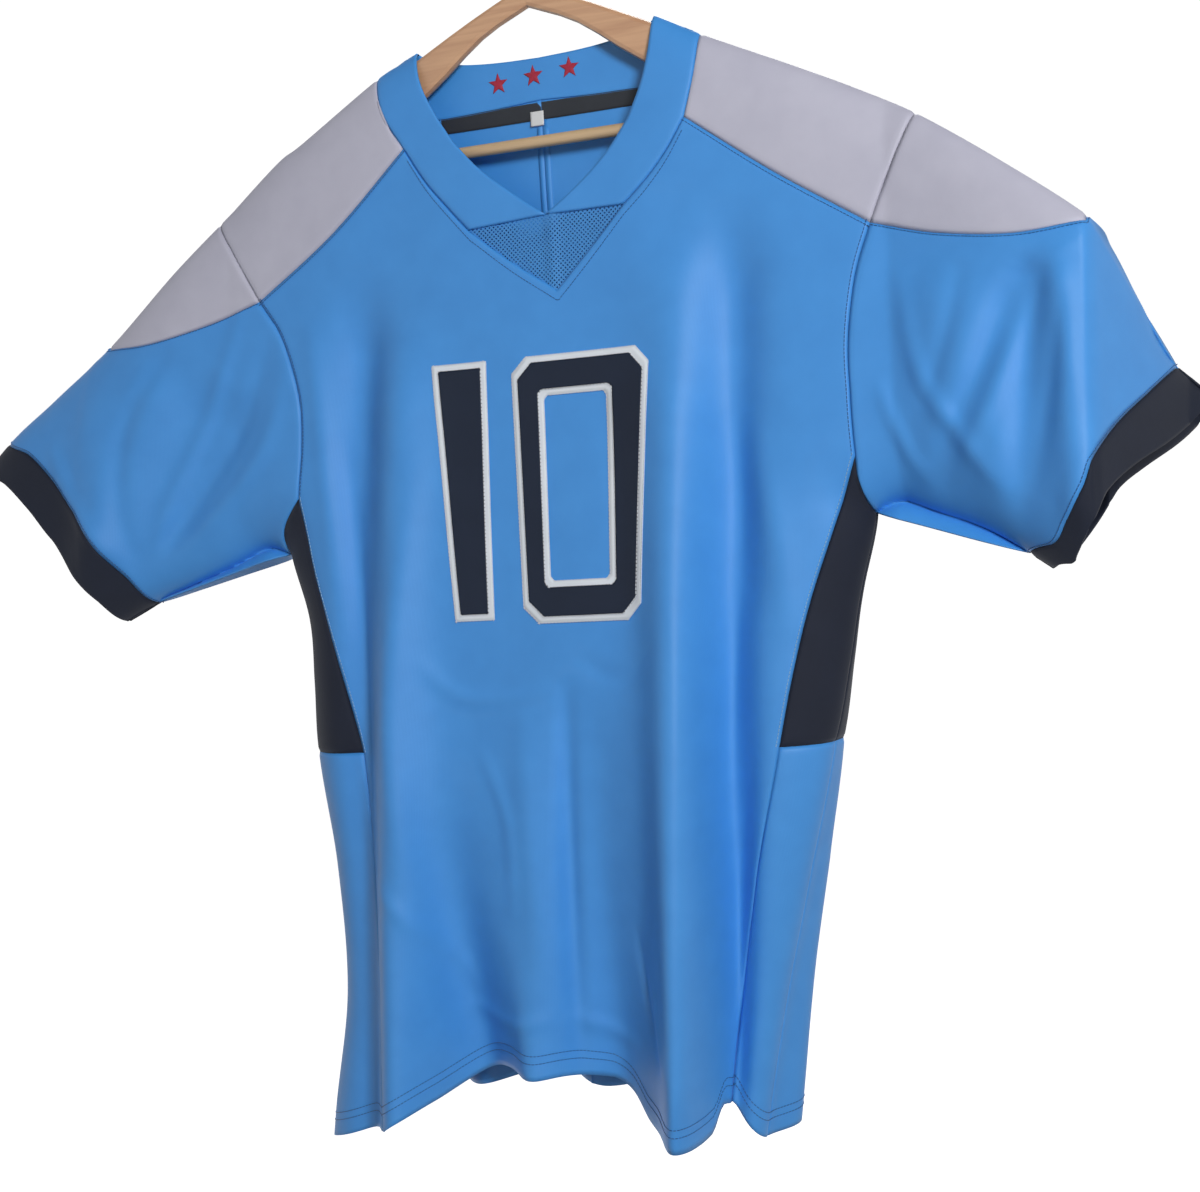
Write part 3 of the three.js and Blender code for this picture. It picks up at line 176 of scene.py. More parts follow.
# columns: top, x there, x at the hem, width there, width at the hem on the left and on the right of the fold,
# rise there, rise at the hem
FRONT_FOLDS = [
    (-260, -148, -183, 24, 18, 18, -13, -10),
    (-300, -112, -142, 30, 24, 24, 10, 36),
    (-640, -95, -88, 30, 32, 32, 0, -46),
    (-740, -40, -34, 16, 13, 16, 0, 16),
    (-560, 32, 22, 26, 34, 34, -4, -34),
    (-230, 116, 98, 30, 24, 14, 10, 58),
    (-240, 156, 118, 24, 20, 20, -13, -42),
]
BACK_FOLDS = [
    (-300, -165, -168, 26, 28, 28, 4, 26),
    (-420, -110, -112, 26, 30, 30, -3, -28),
    (-330, -58, -62, 28, 26, 26, 5, 20),
    (-520, -8, -18, 28, 30, 30, -2, -22),
    (-300, 62, 30, 26, 26, 26, 5, 28),
    (-440, 112, 70, 26, 24, 24, -3, -24),
    (-320, 160, 106, 24, 24, 24, 4, 20),
]
# columns: side, x and z where it starts, x and z where it ends, width, rise
SLEEVE_FOLDS = [
    (1, 392, -305, 397, -470, 13, 7),
    (1, 374, -312, 366, -400, 13, -6),
    (1, 372, -320, 300, -480, 15, -4),
    (1, 300, -300, 346, -500, 32, 7),
    (-1, 396, -305, 400, -500, 26, 5),
    (-1, 270, -340, 345, -500, 30, -7),
    (-1, 330, -320, 392, -470, 26, 6),
]
# columns: x, how much the edge hangs above the hem level in front and behind
HEM_LIFT = np.array([
    (-260, -28, 0), (-228, -20, 0), (-155, 3, 8), (-118, 24, 14), (-88, 41, 20), (-60, 47, 22), (-34, 44, 20),
    (-10, 45, 16), (20, 40, 14), (36, 31, 13), (52, 14, 12), (70, 9, 11), (97, 6, 10), (106, 11, 9),
    (112, 29, 8), (136, 0, 4), (200, -4, 0),
], float)
# side: the sleeve's upper outline beside its named points, its underarm, and the ends of its cuff seam
SLEEVE_TOP = {1: ([(348, -249)], [(420, -318), (433, -353)]), -1: ([(330, -252)], [(445, -343)])}
UNDERARM = {1: [(267, -476), (290, -484), (326, -498)], -1: [(258, -481), (292, -494), (330, -507)]}
CUFF_SEAM = {1: ((451, -396), (357, -516)), -1: ((494, -378), (365, -519))}
# side, then columns: share of the cuff seam from its lower end, how far the cuff runs on outwards and up
CUFF_RUN = {
    1: np.array([(0, 16, -11), (0.14, 11, -14), (0.3, 5, -22), (0.52, 6, -21), (0.68, 7, -28),
                 (0.84, 14, -29), (1, 22, -22)], float),
    -1: np.array([(0, 30, -14), (0.3, 26, -22), (0.55, 25, -23), (0.8, 24, -23), (1, 24, -23)], float),
}
# columns: share of the cuff seam from its lower end, how far it bows outwards on the right and on the left
CUFF_BOW = np.array([(0, 0, 0), (0.13, 13, -7), (0.3, 16, -13), (0.45, 12, -17), (0.53, 5, -17),
                     (0.68, 0, -18), (0.85, 0, -14), (1, 0, 0)], float)
# columns: distance from the middle, how far the sleeve stands back there on the right and on the left. The
# right sleeve swings forward up to its sharp fold and then turns back.
STAND = np.array([(0, 0, 0), (270, 0, 0), (407, -37, -14), (412, -31, -14), (458, 63, -18),
                  (480, 76, -21), (560, 90, -29)], float)


def read_table(rows, column, at):
    """Smooth value of a table's column, read by its first column."""
    rows = rows[np.argsort(rows[:, 0])]
    at = np.asarray(at, float)
    last = len(rows) - 1
    i = np.clip(np.searchsorted(rows[:, 0], at, side="left") - 1, 0, last - 1)
    t = np.clip((at - rows[i, 0]) / (rows[i + 1, 0] - rows[i, 0]), 0, 1)
    before, after = rows[np.maximum(i - 1, 0), column], rows[np.minimum(i + 2, last), column]
    a, b = rows[i, column], rows[i + 1, column]
    return 0.5 * (2 * a + (b - before) * t + (2 * before - 5 * a + 4 * b - after) * t ** 2
                  + (3 * a - before - 3 * b + after) * t ** 3)


def through(points, shares):
    """A smooth line through a few named points, read at the given shares of its length."""
    p = np.array(points, float)
    p = np.vstack([2 * p[0] - p[1], p, 2 * p[-1] - p[-2]])
    n = len(points) - 1
    s = np.clip(np.asarray(shares, float), 0, 1) * n
    i = np.minimum(s.astype(int), n - 1)
    t = (s - i)[:, None]
    a, b, c, d = p[i], p[i + 1], p[i + 2], p[i + 3]
    return 0.5 * (2 * b + (c - a) * t + (2 * a - 5 * b + 4 * c - d) * t ** 2
                  + (3 * b - a - 3 * c + d) * t ** 3)


def smooth(t):
    t = np.clip(t, 0, 1)
    return t * t * (3 - 2 * t)


# the straight pieces along the outline's top, under the arm and down the flank, on each side
TOP_STEPS, ARM_STEPS, FLANK_STEPS = 139, 69, 89
SIDE_STEPS = TOP_STEPS + ARM_STEPS + FLANK_STEPS


def outline():
    """The garment's outline seen from the front, as short straight pieces: the right side, then the left."""
    pieces = []
    for side in (1, -1):
        top, low = (np.array(p, float) for p in CUFF_SEAM[side])
        out_low, out_top = 2 * CUFF_RUN[side][0, 1:], 2 * CUFF_RUN[side][-1, 1:]
        p, (before, after) = POINTS[side], SLEEVE_TOP[side]
        upper = [(0, -57), p["neck"], p["collar top"], *RUNS[side]["shoulder"], p["arm top"], *before,
                 p["cap tip"], *after, top, top + out_top]
        arm = [p["pit"], *UNDERARM[side], low, low + out_low]
        heights = np.linspace(-1040, p["pit"][1], FLANK_STEPS + 1)
        flank = np.stack([np.abs(read_table(BODY, 4 if side > 0 else 1, heights)), heights], 1)
        top_line = through(upper, np.linspace(0, 1, TOP_STEPS + 1))
        arm_line = through(arm, np.linspace(0, 1, ARM_STEPS + 1))
        for line in (top_line, arm_line, flank):
            line = line * (side, 1)
            pieces.append(np.hstack([line[:-1], line[1:]]))
    return np.vstack(pieces)


OUTLINE = outline()


def inset_from_outline(x, z):
    best = np.full(x.shape, 1e9)
    for ax, az, bx, bz in OUTLINE:
        dx, dz = bx - ax, bz - az
        t = np.clip(((x - ax) * dx + (z - az) * dz) / (dx * dx + dz * dz), 0, 1)
        best = np.minimum(best, (x - ax - t * dx) ** 2 + (z - az - t * dz) ** 2)
    return np.sqrt(best)


def fold_rise(x, z, front):
    rise = np.zeros_like(x)
    for top, x0, x1, w0, left, right, r0, r1 in FRONT_FOLDS if front else BACK_FOLDS:
        t = np.clip((top - z) / (top - HEM), 0, 1)
        height = (r0 + (r1 - r0) * t ** 1.6) * smooth((top - z) / 90)
        off = x - x0 - (x1 - x0) * t
        rise += height * np.exp(-(off / (w0 + (np.where(off < 0, left, right) - w0) * t)) ** 2)
    for side, x0, z0, x1, z1, width, height in SLEEVE_FOLDS:
        dx, dz = x1 - x0, z1 - z0
        length = math.hypot(dx, dz)
        t = ((side * x - x0) * dx + (z - z0) * dz) / length ** 2
        off = ((side * x - x0) * dz - (z - z0) * dx) / length
        rise += np.where(x * side > 0, height * np.exp(-(off / width) ** 2) * smooth(t / 0.25), 0)
    return rise


# columns: sheet (1 front, -1 back), width, rise, then the crease's points
CREASES = [
    (1, 7, 3.0, (-256, -281), (-286, -358), (-338, -452), (-352, -500)),
    (1, 9, -3.4, (-325, -310), (-366, -380), (-372, -450), (-362, -505)),
    (1, 8, 2.8, (-218, -333), (-243, -402), (-310, -470), (-345, -490)),
    (1, 9, -3.0, (-228, -300), (-262, -380), (-322, -455), (-360, -490)),
    (1, 7, 2.6, (-443, -379), (-416, -431), (-371, -491)),
    (1, 7, 3.4, (378, -317), (347, -400), (309, -471)),
    (1, 8, -3.4, (360, -325), (330, -395), (296, -455)),
    (1, 7, -3.0, (392, -340), (384, -400), (368, -480)),
    (1, 7, 2.8, (277, -312), (290, -388), (321, -438), (350, -480)),
    (1, 7, -2.6, (325, -317), (312, -363), (292, -415)),
    (1, 6, 2.6, (258, -390), (279, -445), (300, -478)),
    (1, 9, -3.8, (-173, -392), (-163, -524), (-157, -680), (-160, -900)),
    (1, 11, 3.2, (-94, -398), (-127, -603), (-117, -758), (-113, -890)),
    (1, 9, 2.6, (-196, -300), (-186, -420), (-180, -560)),
    (1, 12, -2.0, (60, -390), (66, -470), (70, -560)),
    (1, 24, -5.0, (113, -235), (112, -310), (112, -400)),
    (1, 12, 2.6, (165, -400), (179, -483), (190, -570)),
    (1, 12, -2.4, (146, -400), (152, -470), (158, -560)),
    (1, 8, -6.0, (14, -590), (6, -690), (0, -800), (-4, -915)),
    (1, 12, 3.0, (-22, -600), (-24, -720), (-22, -880)),
    (1, 7, 3.6, (112, -540), (113, -700), (109, -850), (104, -930)),
    (1, 8, -4.0, (144, -538), (127, -680), (123, -800), (122, -910)),
    (1, 5, 3.0, (68, -800), (75, -838), (86, -882)),
    (1, 5, -3.0, (58, -775), (64, -826), (77, -880)),
    (1, 6, 1.6, (-107, -573), (-67, -604), (9, -599)),
    (1, 5, -1.4, (20, -572), (60, -592), (96, -566)),
    (1, 7, 2.0, (-155, -735), (-114, -781), (-83, -834)),
    (1, 6, 2.2, (-100, -842), (-60, -853), (-14, -848)),
    (1, 6, 1.8, (-10, -846), (20, -858), (50, -870)),
    (1, 6, 1.6, (-60, -640), (-40, -700), (-42, -780)),
    (-1, 11, 2.2, (-215, -300), (-196, -430), (-188, -600), (-190, -780)),
    (-1, 12, -2.0, (-90, -230), (-96, -380), (-88, -520), (-92, -700)),
    (-1, 11, 2.0, (96, -240), (88, -380), (92, -540), (70, -720)),
    (-1, 9, -2.0, (220, -300), (204, -420), (188, -560), (160, -740)),
    (-1, 9, 2.4, (40, -400), (30, -560), (24, -740), (10, -900)),
    (-1, 8, -2.2, (-40, -560), (-46, -700), (-50, -880)),
    (-1, 9, 2.2, (310, -260), (336, -350), (362, -430), (384, -500)),
    (-1, 9, 2.2, (-306, -260), (-340, -350), (-366, -430), (-388, -500)),
]

CREASE_STEPS = 24
UNEVENNESS = 0.42


def crease_rise(x, z, front):
    rise = np.zeros_like(x)
    for sheet, width, height, *points in CREASES:
        if (sheet > 0) != front:
            continue
        line = through(points, np.linspace(0, 1, CREASE_STEPS + 1))
        near = np.full(x.shape, 1e9)
        along = np.zeros_like(x)
        for i, ((ax, az), (bx, bz)) in enumerate(zip(line[:-1], line[1:])):
            dx, dz = bx - ax, bz - az
            t = np.clip(((x - ax) * dx + (z - az) * dz) / (dx * dx + dz * dz), 0, 1)
            d = np.hypot(x - ax - t * dx, z - az - t * dz)
            along = np.where(d < near, (i + t) / CREASE_STEPS, along)
            near = np.minimum(near, d)
        rise += height * np.exp(-(near / width) ** 2) * np.sin(math.pi * np.clip(along, 0, 1)) ** 0.7
    wander = (np.sin(x / 23 + 0.7 * np.sin(z / 61)) * np.sin(z / 87 + 1.3)
              + 0.6 * np.sin(x / 13.7 - z / 49 + 2.0))
    return rise + UNEVENNESS * wander


def sleeve_stand(x):
    distance, right, left = STAND.T
    return np.where(x > 0, np.interp(x, distance, right), np.interp(-x, distance, left))


def cloth(x, z, front, on_outline=False):
    """Places in millimetres on the front or back sheet, for x and z as seen from the front."""
    x, z = np.asarray(x, float), np.asarray(z, float)
    inside = np.where(on_outline, 0.0, inset_from_outline(x, z))
    roll = read_table(SWELL, 3, z)
    rounding = np.sqrt(np.maximum(1 - (1 - np.minimum(inside / roll, 1)) ** 2, 0))
    folds = (fold_rise(x, z, front) + crease_rise(x, z, front)) * smooth(inside / 52)
    depth = read_table(SWELL, 1 if front else 2, z) * rounding + folds
    stand = sleeve_stand(x)
    return np.stack([x, stand + (-depth if front else depth), z], -1)


def hung_out(grid):
    """Moves places on the garment's right side further right the further back they lie."""
    share = smooth(grid[..., 1] / 36) * smooth((grid[..., 0] - 20) / 90)
    moved = grid.copy()
    moved[..., 0] += read_table(SWELL, 4, grid[..., 2]) * share
    return moved


# the parts that each kind of seam is divided into, and the steps in each part
FINE = 8
LOWER, UPPER, ARMHOLE, INSERT, YOKE, RISE, VEE, OVER, CAP, NAPE = 10, 6, 6, 3, 7, 4, 4, 5, 6, 4


def even(parts):
    return np.linspace(0, 1, parts * FINE + 1)


def seam_line(points, shares, front, from_outline=False):
    p = through(points, shares)
    return cloth(p[:, 0], p[:, 1], front, np.logical_and(from_outline, np.asarray(shares) == 0))


def body_seam(column, start, end, parts, front):
    z = start + (end - start) * even(parts)
    return cloth(read_table(BODY, column, z), z, front, column in (1, 4))


def hem_at(x, front):
    return HEM + read_table(HEM_LIFT, 1 if front else 2, x)


def join(*lines):
    return np.vstack([lines[0], *(line[1:] for line in lines[1:])])


def half_way(a, b):
    return (a[0] + b[0]) / 2, (a[1] + b[1]) / 2 - 2


def seams_of(side, front):
    """Every seam of one side of the garment, on its front or back sheet."""
    def line(*points):
        return [(side * x, z) for x, z in points]
    p, run = POINTS[side], RUNS[side]
    inner = p["yoke inner" if front else "yoke inner back"]
    outer = p["yoke outer" if front else "yoke outer back"]
    (cap_x, cap_z), cap_end = run["cap"]
    cap = [(cap_x, cap_z) if front else (cap_x + 6, cap_z + 9), cap_end]
    column, edge = (3, 4) if side > 0 else (2, 1)
    pit, arm, collar = p["pit"], p["arm top"], p["collar top"]
    below = [(float(read_table(BODY, column, z)), z) for z in (pit[1] - 12, -540, -590, INSERT_END)]
    hem_start = float(hem_at(read_table(BODY, column, HEM), front))
    edge_start = float(hem_at(read_table(BODY, edge, HEM), True))
    insert_top = line(pit, (pit[0] - 6, pit[1] + 20), p["insert top"])
    yoke = line(outer, *(run["yoke"] if front else [half_way(outer, inner)]), inner)
    over_arm = line(arm, ((arm[0] + outer[0]) / 2, arm[1] + 0.47 * (outer[1] - arm[1])), outer)
    over_collar = line(collar, (collar[0] + 0.3 * (inner[0] - collar[0]), (collar[1] + inner[1]) / 2), inner)
    return {
        "lower": body_seam(column, hem_start, INSERT_END, LOWER, front),
        "upper": seam_line(line(p["insert top"]) + below, even(UPPER), front)[::-1],
        "flank_lower": body_seam(edge, edge_start, INSERT_END, LOWER, front),
        "flank_upper": body_seam(edge, INSERT_END, pit[1], UPPER, front),
        "insert_top": seam_line(insert_top, even(INSERT) ** 2, front, True)[::-1],
        "armhole": seam_line(line(p["insert top"], *run["armhole"], outer), even(ARMHOLE), front),
        "yoke": seam_line(yoke, even(YOKE), front),
        "over_arm": seam_line(over_arm, even(OVER) ** 2, front, True),
        "over_collar": seam_line(over_collar, even(OVER) ** 2, front, True),
        "cap": seam_line(line(outer, *cap, (p["cap tip"][0], p["cap tip"][1] - 3)), even(CAP), front),
    }


SEAMS = {(side, front): seams_of(side, front) for side in (1, -1) for front in (True, False)}


def front_collar_seam(side):
    p = POINTS[side]
    rise = [(side * x, z) for x, z in (p["vee corner"], *RUNS[side]["rise"], p["yoke inner"])]
    return join(seam_line(rise, even(RISE), True), SEAMS[side, True]["over_collar"][::-1])


def shares_of(line):
    run = np.concatenate([[0], np.cumsum(np.linalg.norm(np.diff(line, axis=0), axis=1))])
    return run / run[-1]


def between(bottom, top, left, right, rows, columns, front):
    """A panel's grid of points inside its four seams."""
    u, v = columns[None, :, None], rows[:, None, None]
    flat = ((1 - v) * bottom[None] + v * top[None] + (1 - u) * left[:, None] + u * right[:, None]
            - (1 - v) * ((1 - u) * bottom[0] + u * bottom[-1]) - v * ((1 - u) * top[0] + u * top[-1]))
    grid = cloth(flat[..., 0], flat[..., 2], front)
    grid[0], grid[-1], grid[:, 0], grid[:, -1] = bottom, top, left, right
    return grid


def facing(grid):
    du, dv = np.gradient(grid, axis=1), np.gradient(grid, axis=0)
    n = np.cross(du, dv)
    return n / np.maximum(np.linalg.norm(n, axis=2, keepdims=True), 1e-9)


# where a grid's bottom, top, left and right edges lie in it
EDGES = ((0, slice(None)), (-1, slice(None)), (slice(None), 0), (slice(None), -1))
# each panel's grid and facing by name, and the facing of all the panels that meet at each point of a seam
PANELS = {}
EDGE_FACING = {}


def draw_panel(name, grid, flip=False):
    """Keeps a panel's grid, and adds its facing along its edges to that of the panels it is sewn to."""
    grid = hung_out(grid)
    n = facing(grid) * (-1 if flip else 1)
    PANELS[name] = (grid, n, flip)
    for index in EDGES:
        for p, q in zip(grid[index], n[index]):
            key = tuple(np.round(p, 1))
            EDGE_FACING[key] = EDGE_FACING.get(key, 0) + q


def arc(grid, axis):
    """Distance of each point along the grid's rows or columns, in millimetres."""
    d = np.linalg.norm(np.diff(grid, axis=axis), axis=2)
    zero = np.zeros((d.shape[0], 1)) if axis == 1 else np.zeros((1, d.shape[1]))
    return np.cumsum(np.concatenate([zero, d], axis=axis), axis=axis)


# millimetres: a wall of single cloth and of folded cloth, how far its outer face stands out from the grid,
# how deep that face sinks at a seam, and how far from the seam the groove reaches
CLOTH, FOLDED_CLOTH = 1.1, 1.6
FACE_OUT, SEAM_SINK, GROOVE_REACH = 0.6, 0.9, 1.6


def sew_panel(name, material, thickness=CLOTH, sink=SEAM_SINK, open_edges=(), body="root"):
    """Makes a panel's thin shell. Its outer face sinks into a groove at each seam, not at an open edge."""
    grid, n, flip = PANELS[name]
    n = n.copy()
    for index in EDGES:
        shared = np.array([EDGE_FACING[tuple(np.round(p, 1))] for p in grid[index]])
        n[index] = shared / np.maximum(np.linalg.norm(shared, axis=1, keepdims=True), 1e-9)
    along, up = arc(grid, 1), arc(grid, 0)
    reach = {"left": along, "right": along[:, -1:] - along, "bottom": up, "top": up[-1:] - up}
    groove = np.zeros(grid.shape[:2])
    for edge, distance in reach.items():
        if edge not in open_edges:
            groove = np.maximum(groove, np.exp(-(distance / GROOVE_REACH) ** 2) * sink)
    outer = (grid + n * (FACE_OUT - groove)[..., None]) / 1000.0
    rows, columns = grid.shape[:2]
    index = np.arange(rows * columns).reshape(rows, columns)
    quads = np.stack([index[:-1, :-1], index[:-1, 1:], index[1:, 1:], index[1:, :-1]], -1).reshape(-1, 4)
    if flip:
        quads = quads[:, ::-1]
    mesh = bpy.data.meshes.new(name)
    mesh.from_pydata(outer.reshape(-1, 3).tolist(), [], quads.tolist())
    mesh.shade_smooth()
    mesh.materials.append(material)
    piece = bpy.data.objects.new("cloth_" + name, mesh)
    bpy.context.scene.collection.objects.link(piece)
    wall = piece.modifiers.new("cloth thickness", "SOLIDIFY")
    wall.thickness = thickness / 1000.0
    wall.offset = -1.0
    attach(piece, body)
    return piece


LOOP_PITCH = 1.1


def knit_weave():
    """Shader group: fine knitted loops and the slow unevenness of the cloth, as a height and a shade."""
    group = bpy.data.node_groups.new("knit", "ShaderNodeTree")
    for label, value in (("Loop pitch mm", LOOP_PITCH), ("Unevenness", 0.5)):
        socket = group.interface.new_socket(label, in_out="INPUT", socket_type="NodeSocketFloat")
        socket.default_value = value
    group.interface.new_socket("Height", in_out="OUTPUT", socket_type="NodeSocketFloat")
    group.interface.new_socket("Shade", in_out="OUTPUT", socket_type="NodeSocketFloat")
    nodes, links = group.nodes, group.links
    given, result = nodes.new("NodeGroupInput"), nodes.new("NodeGroupOutput")
    coordinates = nodes.new("ShaderNodeTexCoord")
    place = nodes.new("ShaderNodeSeparateXYZ")
    links.new(coordinates.outputs["Object"], place.inputs[0])
    pitch = nodes.new("ShaderNodeMath")
    pitch.operation = "DIVIDE"
    pitch.inputs[0].default_value = 2000 * math.pi
    links.new(given.outputs["Loop pitch mm"], pitch.inputs[1])
    waves = []
    for axis, factor in (("X", 1.0), ("Z", 1.35), ("Y", 0.8)):
        scaled = nodes.new("ShaderNodeMath")
        scaled.operation = "MULTIPLY"
        links.new(place.outputs[axis], scaled.inputs[0])
        links.new(pitch.outputs[0], scaled.inputs[1])
        faster = nodes.new("ShaderNodeMath")
        faster.operation = "MULTIPLY"
        faster.inputs[1].default_value = factor
        links.new(scaled.outputs[0], faster.inputs[0])
        wave = nodes.new("ShaderNodeMath")
        wave.operation = "SINE"
        links.new(faster.outputs[0], wave.inputs[0])
        waves.append(wave)
    loops = nodes.new("ShaderNodeMath")
    loops.operation = "MULTIPLY"
    links.new(waves[0].outputs[0], loops.inputs[0])
    links.new(waves[1].outputs[0], loops.inputs[1])
    cross = nodes.new("ShaderNodeMath")
    cross.operation = "MULTIPLY_ADD"
    cross.inputs[1].default_value = 0.25
    links.new(waves[2].outputs[0], cross.inputs[0])
    links.new(loops.outputs[0], cross.inputs[2])
    blotch = nodes.new("ShaderNodeTexNoise")
    blotch.inputs["Scale"].default_value = 38.0
    blotch.inputs["Detail"].default_value = 4.0
    links.new(coordinates.outputs["Object"], blotch.inputs["Vector"])
    uneven = nodes.new("ShaderNodeMath")
    uneven.operation = "MULTIPLY"
    links.new(blotch.outputs["Fac"], uneven.inputs[0])
    links.new(given.outputs["Unevenness"], uneven.inputs[1])
    height = nodes.new("ShaderNodeMath")
    height.operation = "MULTIPLY_ADD"
    height.inputs[1].default_value = 0.12
    links.new(cross.outputs[0], height.inputs[0])
    links.new(uneven.outputs[0], height.inputs[2])
    links.new(height.outputs[0], result.inputs["Height"])
    links.new(blotch.outputs["Fac"], result.inputs["Shade"])
    return group


KNIT = knit_weave()


def knit_cloth(name, colour, shade_colour, roughness, sheen, pitch=LOOP_PITCH, bump=0.35, gloss=0.35):
    """Knitted polyester: two close tones by the group's shade, loops and unevenness by its height."""
    material = bpy.data.materials.new(name)
    material.use_nodes = True
    nodes, links = material.node_tree.nodes, material.node_tree.links
    shader = nodes["Principled BSDF"]
    shader.inputs["Roughness"].default_value = roughness
    shader.inputs["Sheen Weight"].default_value = sheen
    shader.inputs["Sheen Roughness"].default_value = 0.45
    shader.inputs["Specular IOR Level"].default_value = gloss
    knit = nodes.new("ShaderNodeGroup")
    knit.node_tree = KNIT
    knit.inputs["Loop pitch mm"].default_value = pitch
    tones = nodes.new("ShaderNodeValToRGB")
    tones.color_ramp.elements[0].position = 0.3
    tones.color_ramp.elements[0].color = (*shade_colour, 1)
    tones.color_ramp.elements[1].position = 0.7
    tones.color_ramp.elements[1].color = (*colour, 1)
    links.new(knit.outputs["Shade"], tones.inputs["Fac"])
    links.new(tones.outputs["Color"], shader.inputs["Base Color"])
    relief = nodes.new("ShaderNodeBump")
    relief.inputs["Strength"].default_value = bump
    relief.inputs["Distance"].default_value = 0.0006
    links.new(knit.outputs["Height"], relief.inputs["Height"])
    links.new(relief.outputs["Normal"], shader.inputs["Normal"])
    return material


sky_knit = knit_cloth("sky blue knit", (0.058, 0.325, 0.82), (0.052, 0.303, 0.78), 0.5, 0.04)

front_left = join(SEAMS[-1, True]["lower"], SEAMS[-1, True]["upper"], SEAMS[-1, True]["armhole"])
front_right = join(SEAMS[1, True]["lower"], SEAMS[1, True]["upper"], SEAMS[1, True]["armhole"])


def vee_line(side):
    points = [(side * x, z) for x, z in (*RUNS[side]["vee"], POINTS[side]["vee corner"])]
    return seam_line([VEE_TIP, *points], even(VEE), True)


rise_part = RISE * FINE + 1
front_top = join(SEAMS[-1, True]["yoke"], front_collar_seam(-1)[:rise_part][::-1], vee_line(-1)[::-1],
                 vee_line(1), front_collar_seam(1)[:rise_part], SEAMS[1, True]["yoke"][::-1])
front_columns = (front_top[:, 0] - front_top[0, 0]) / (front_top[-1, 0] - front_top[0, 0])
front_x = front_left[0, 0] + (front_right[0, 0] - front_left[0, 0]) * front_columns
front_bottom = cloth(front_x, hem_at(front_x, True), True)
draw_panel("front", between(front_bottom, front_top, front_left, front_right, shares_of(front_left),
                            front_columns, True))

# Back
# Two blue halves joined by a seam down the middle, which drifts a little to the viewer's left towards the
# hem. In the middle it hangs lower than the front.


def back_collar_seam(side):
    rise = [(side * x, z) for x, z in (BACK_COLLAR, (45, -155), (86, -156), POINTS[side]["yoke inner back"])]
    return join(seam_line(rise, even(NAPE), False), SEAMS[side, False]["over_collar"][::-1])


back_sides = {}
for side in (1, -1):
    s = SEAMS[side, False]
    back_sides[side] = join(s["lower"], s["upper"], s["armhole"])
back_rise = (shares_of(back_sides[1]) + shares_of(back_sides[-1])) / 2
BACK_DRIFT = -22
middle_x = BACK_DRIFT * (1 - back_rise)
middle_bottom = hem_at(middle_x, False)
middle = cloth(middle_x, middle_bottom + (BACK_COLLAR[1] - middle_bottom) * back_rise, False)
for side, name in ((-1, "back_left"), (1, "back_right")):
    top = join(back_collar_seam(side)[:NAPE * FINE + 1], SEAMS[side, False]["yoke"][::-1])
    columns = top[:, 0] / top[-1, 0]
    x = middle[0, 0] + (back_sides[side][0, 0] - middle[0, 0]) * columns
    bottom = cloth(x, hem_at(x, False), False)
    rows = shares_of(back_sides[side])
    draw_panel(name, between(bottom, top, middle, back_sides[side], rows, columns, False), flip=side > 0)

# Side panels
# Under each arm a dark insert in two halves, and below it a blue panel in two halves, sewn along the flank.
dark_knit = knit_cloth("navy knit", (0.0085, 0.0125, 0.027), (0.007, 0.0105, 0.023), 0.7, 0.05, gloss=0.2)


def side_panel(seam, edge, front, top=None):
    u = (1 - (1 - even(INSERT)) ** 2)[None, :]
    x = seam[:, 0:1] * (1 - u) + edge[:, 0:1] * u
    z = seam[:, 2:3] * (1 - u) + edge[:, 2:3] * u
    grid = cloth(x, z, front)
    grid[:, 0], grid[:, -1] = seam, edge
    if top is not None:
        grid[-1] = top
    return grid


for side, hand in ((-1, "left"), (1, "right")):
    for front, face in ((True, "front"), (False, "back")):
        s = SEAMS[side, front]
        flip = (side > 0) != front
        insert = side_panel(s["upper"], s["flank_upper"], front, s["insert_top"])
        draw_panel(f"side_{face}_{hand}_lower", side_panel(s["lower"], s["flank_lower"], front), flip)
        draw_panel(f"side_{face}_{hand}_insert", insert, flip)

# Shoulder yokes
# Grey knit that runs over the shoulder in one piece, from the front seam to the back seam.


def shoulder_point(x, side):
    """The place on the outline's top line at a distance x from the middle."""
    start = 0 if side > 0 else SIDE_STEPS
    line = OUTLINE[start:start + TOP_STEPS]
    return np.stack([side * x, np.interp(x, np.abs(line[:, 0]), line[:, 1])], -1)


def over_shoulder(side, name_of_line):
    return join(SEAMS[side, True][name_of_line][::-1], SEAMS[side, False][name_of_line])


grey_knit = knit_cloth("grey knit", (0.56, 0.56, 0.68), (0.52, 0.52, 0.64), 0.55, 0.08)
for side, hand in ((-1, "left"), (1, "right")):
    collar_side, arm_side = over_shoulder(side, "over_collar"), over_shoulder(side, "over_arm")
    u = even(YOKE)
    ends = POINTS[side]["collar top"][0], POINTS[side]["arm top"][0]
    crest = shoulder_point(ends[0] + (ends[1] - ends[0]) * u, side)
    halves = []
    for front in (True, False):
        low = SEAMS[side, front]["yoke"][::-1][:, [0, 2]]
        t = (even(OVER) ** 2)[:, None, None]
        flat = crest[None] * (1 - t) + low[None] * t
        half = cloth(flat[..., 0], flat[..., 1], front, (t[..., 0] == 0) & np.ones_like(u, bool)[None])
        half[-1] = SEAMS[side, front]["yoke"][::-1]
        halves.append(half)
    grid = np.concatenate([halves[0][::-1], halves[1][1:]])
    grid[:, 0], grid[:, -1] = collar_side, arm_side
    draw_panel(f"yoke_{hand}", grid, flip=side < 0)

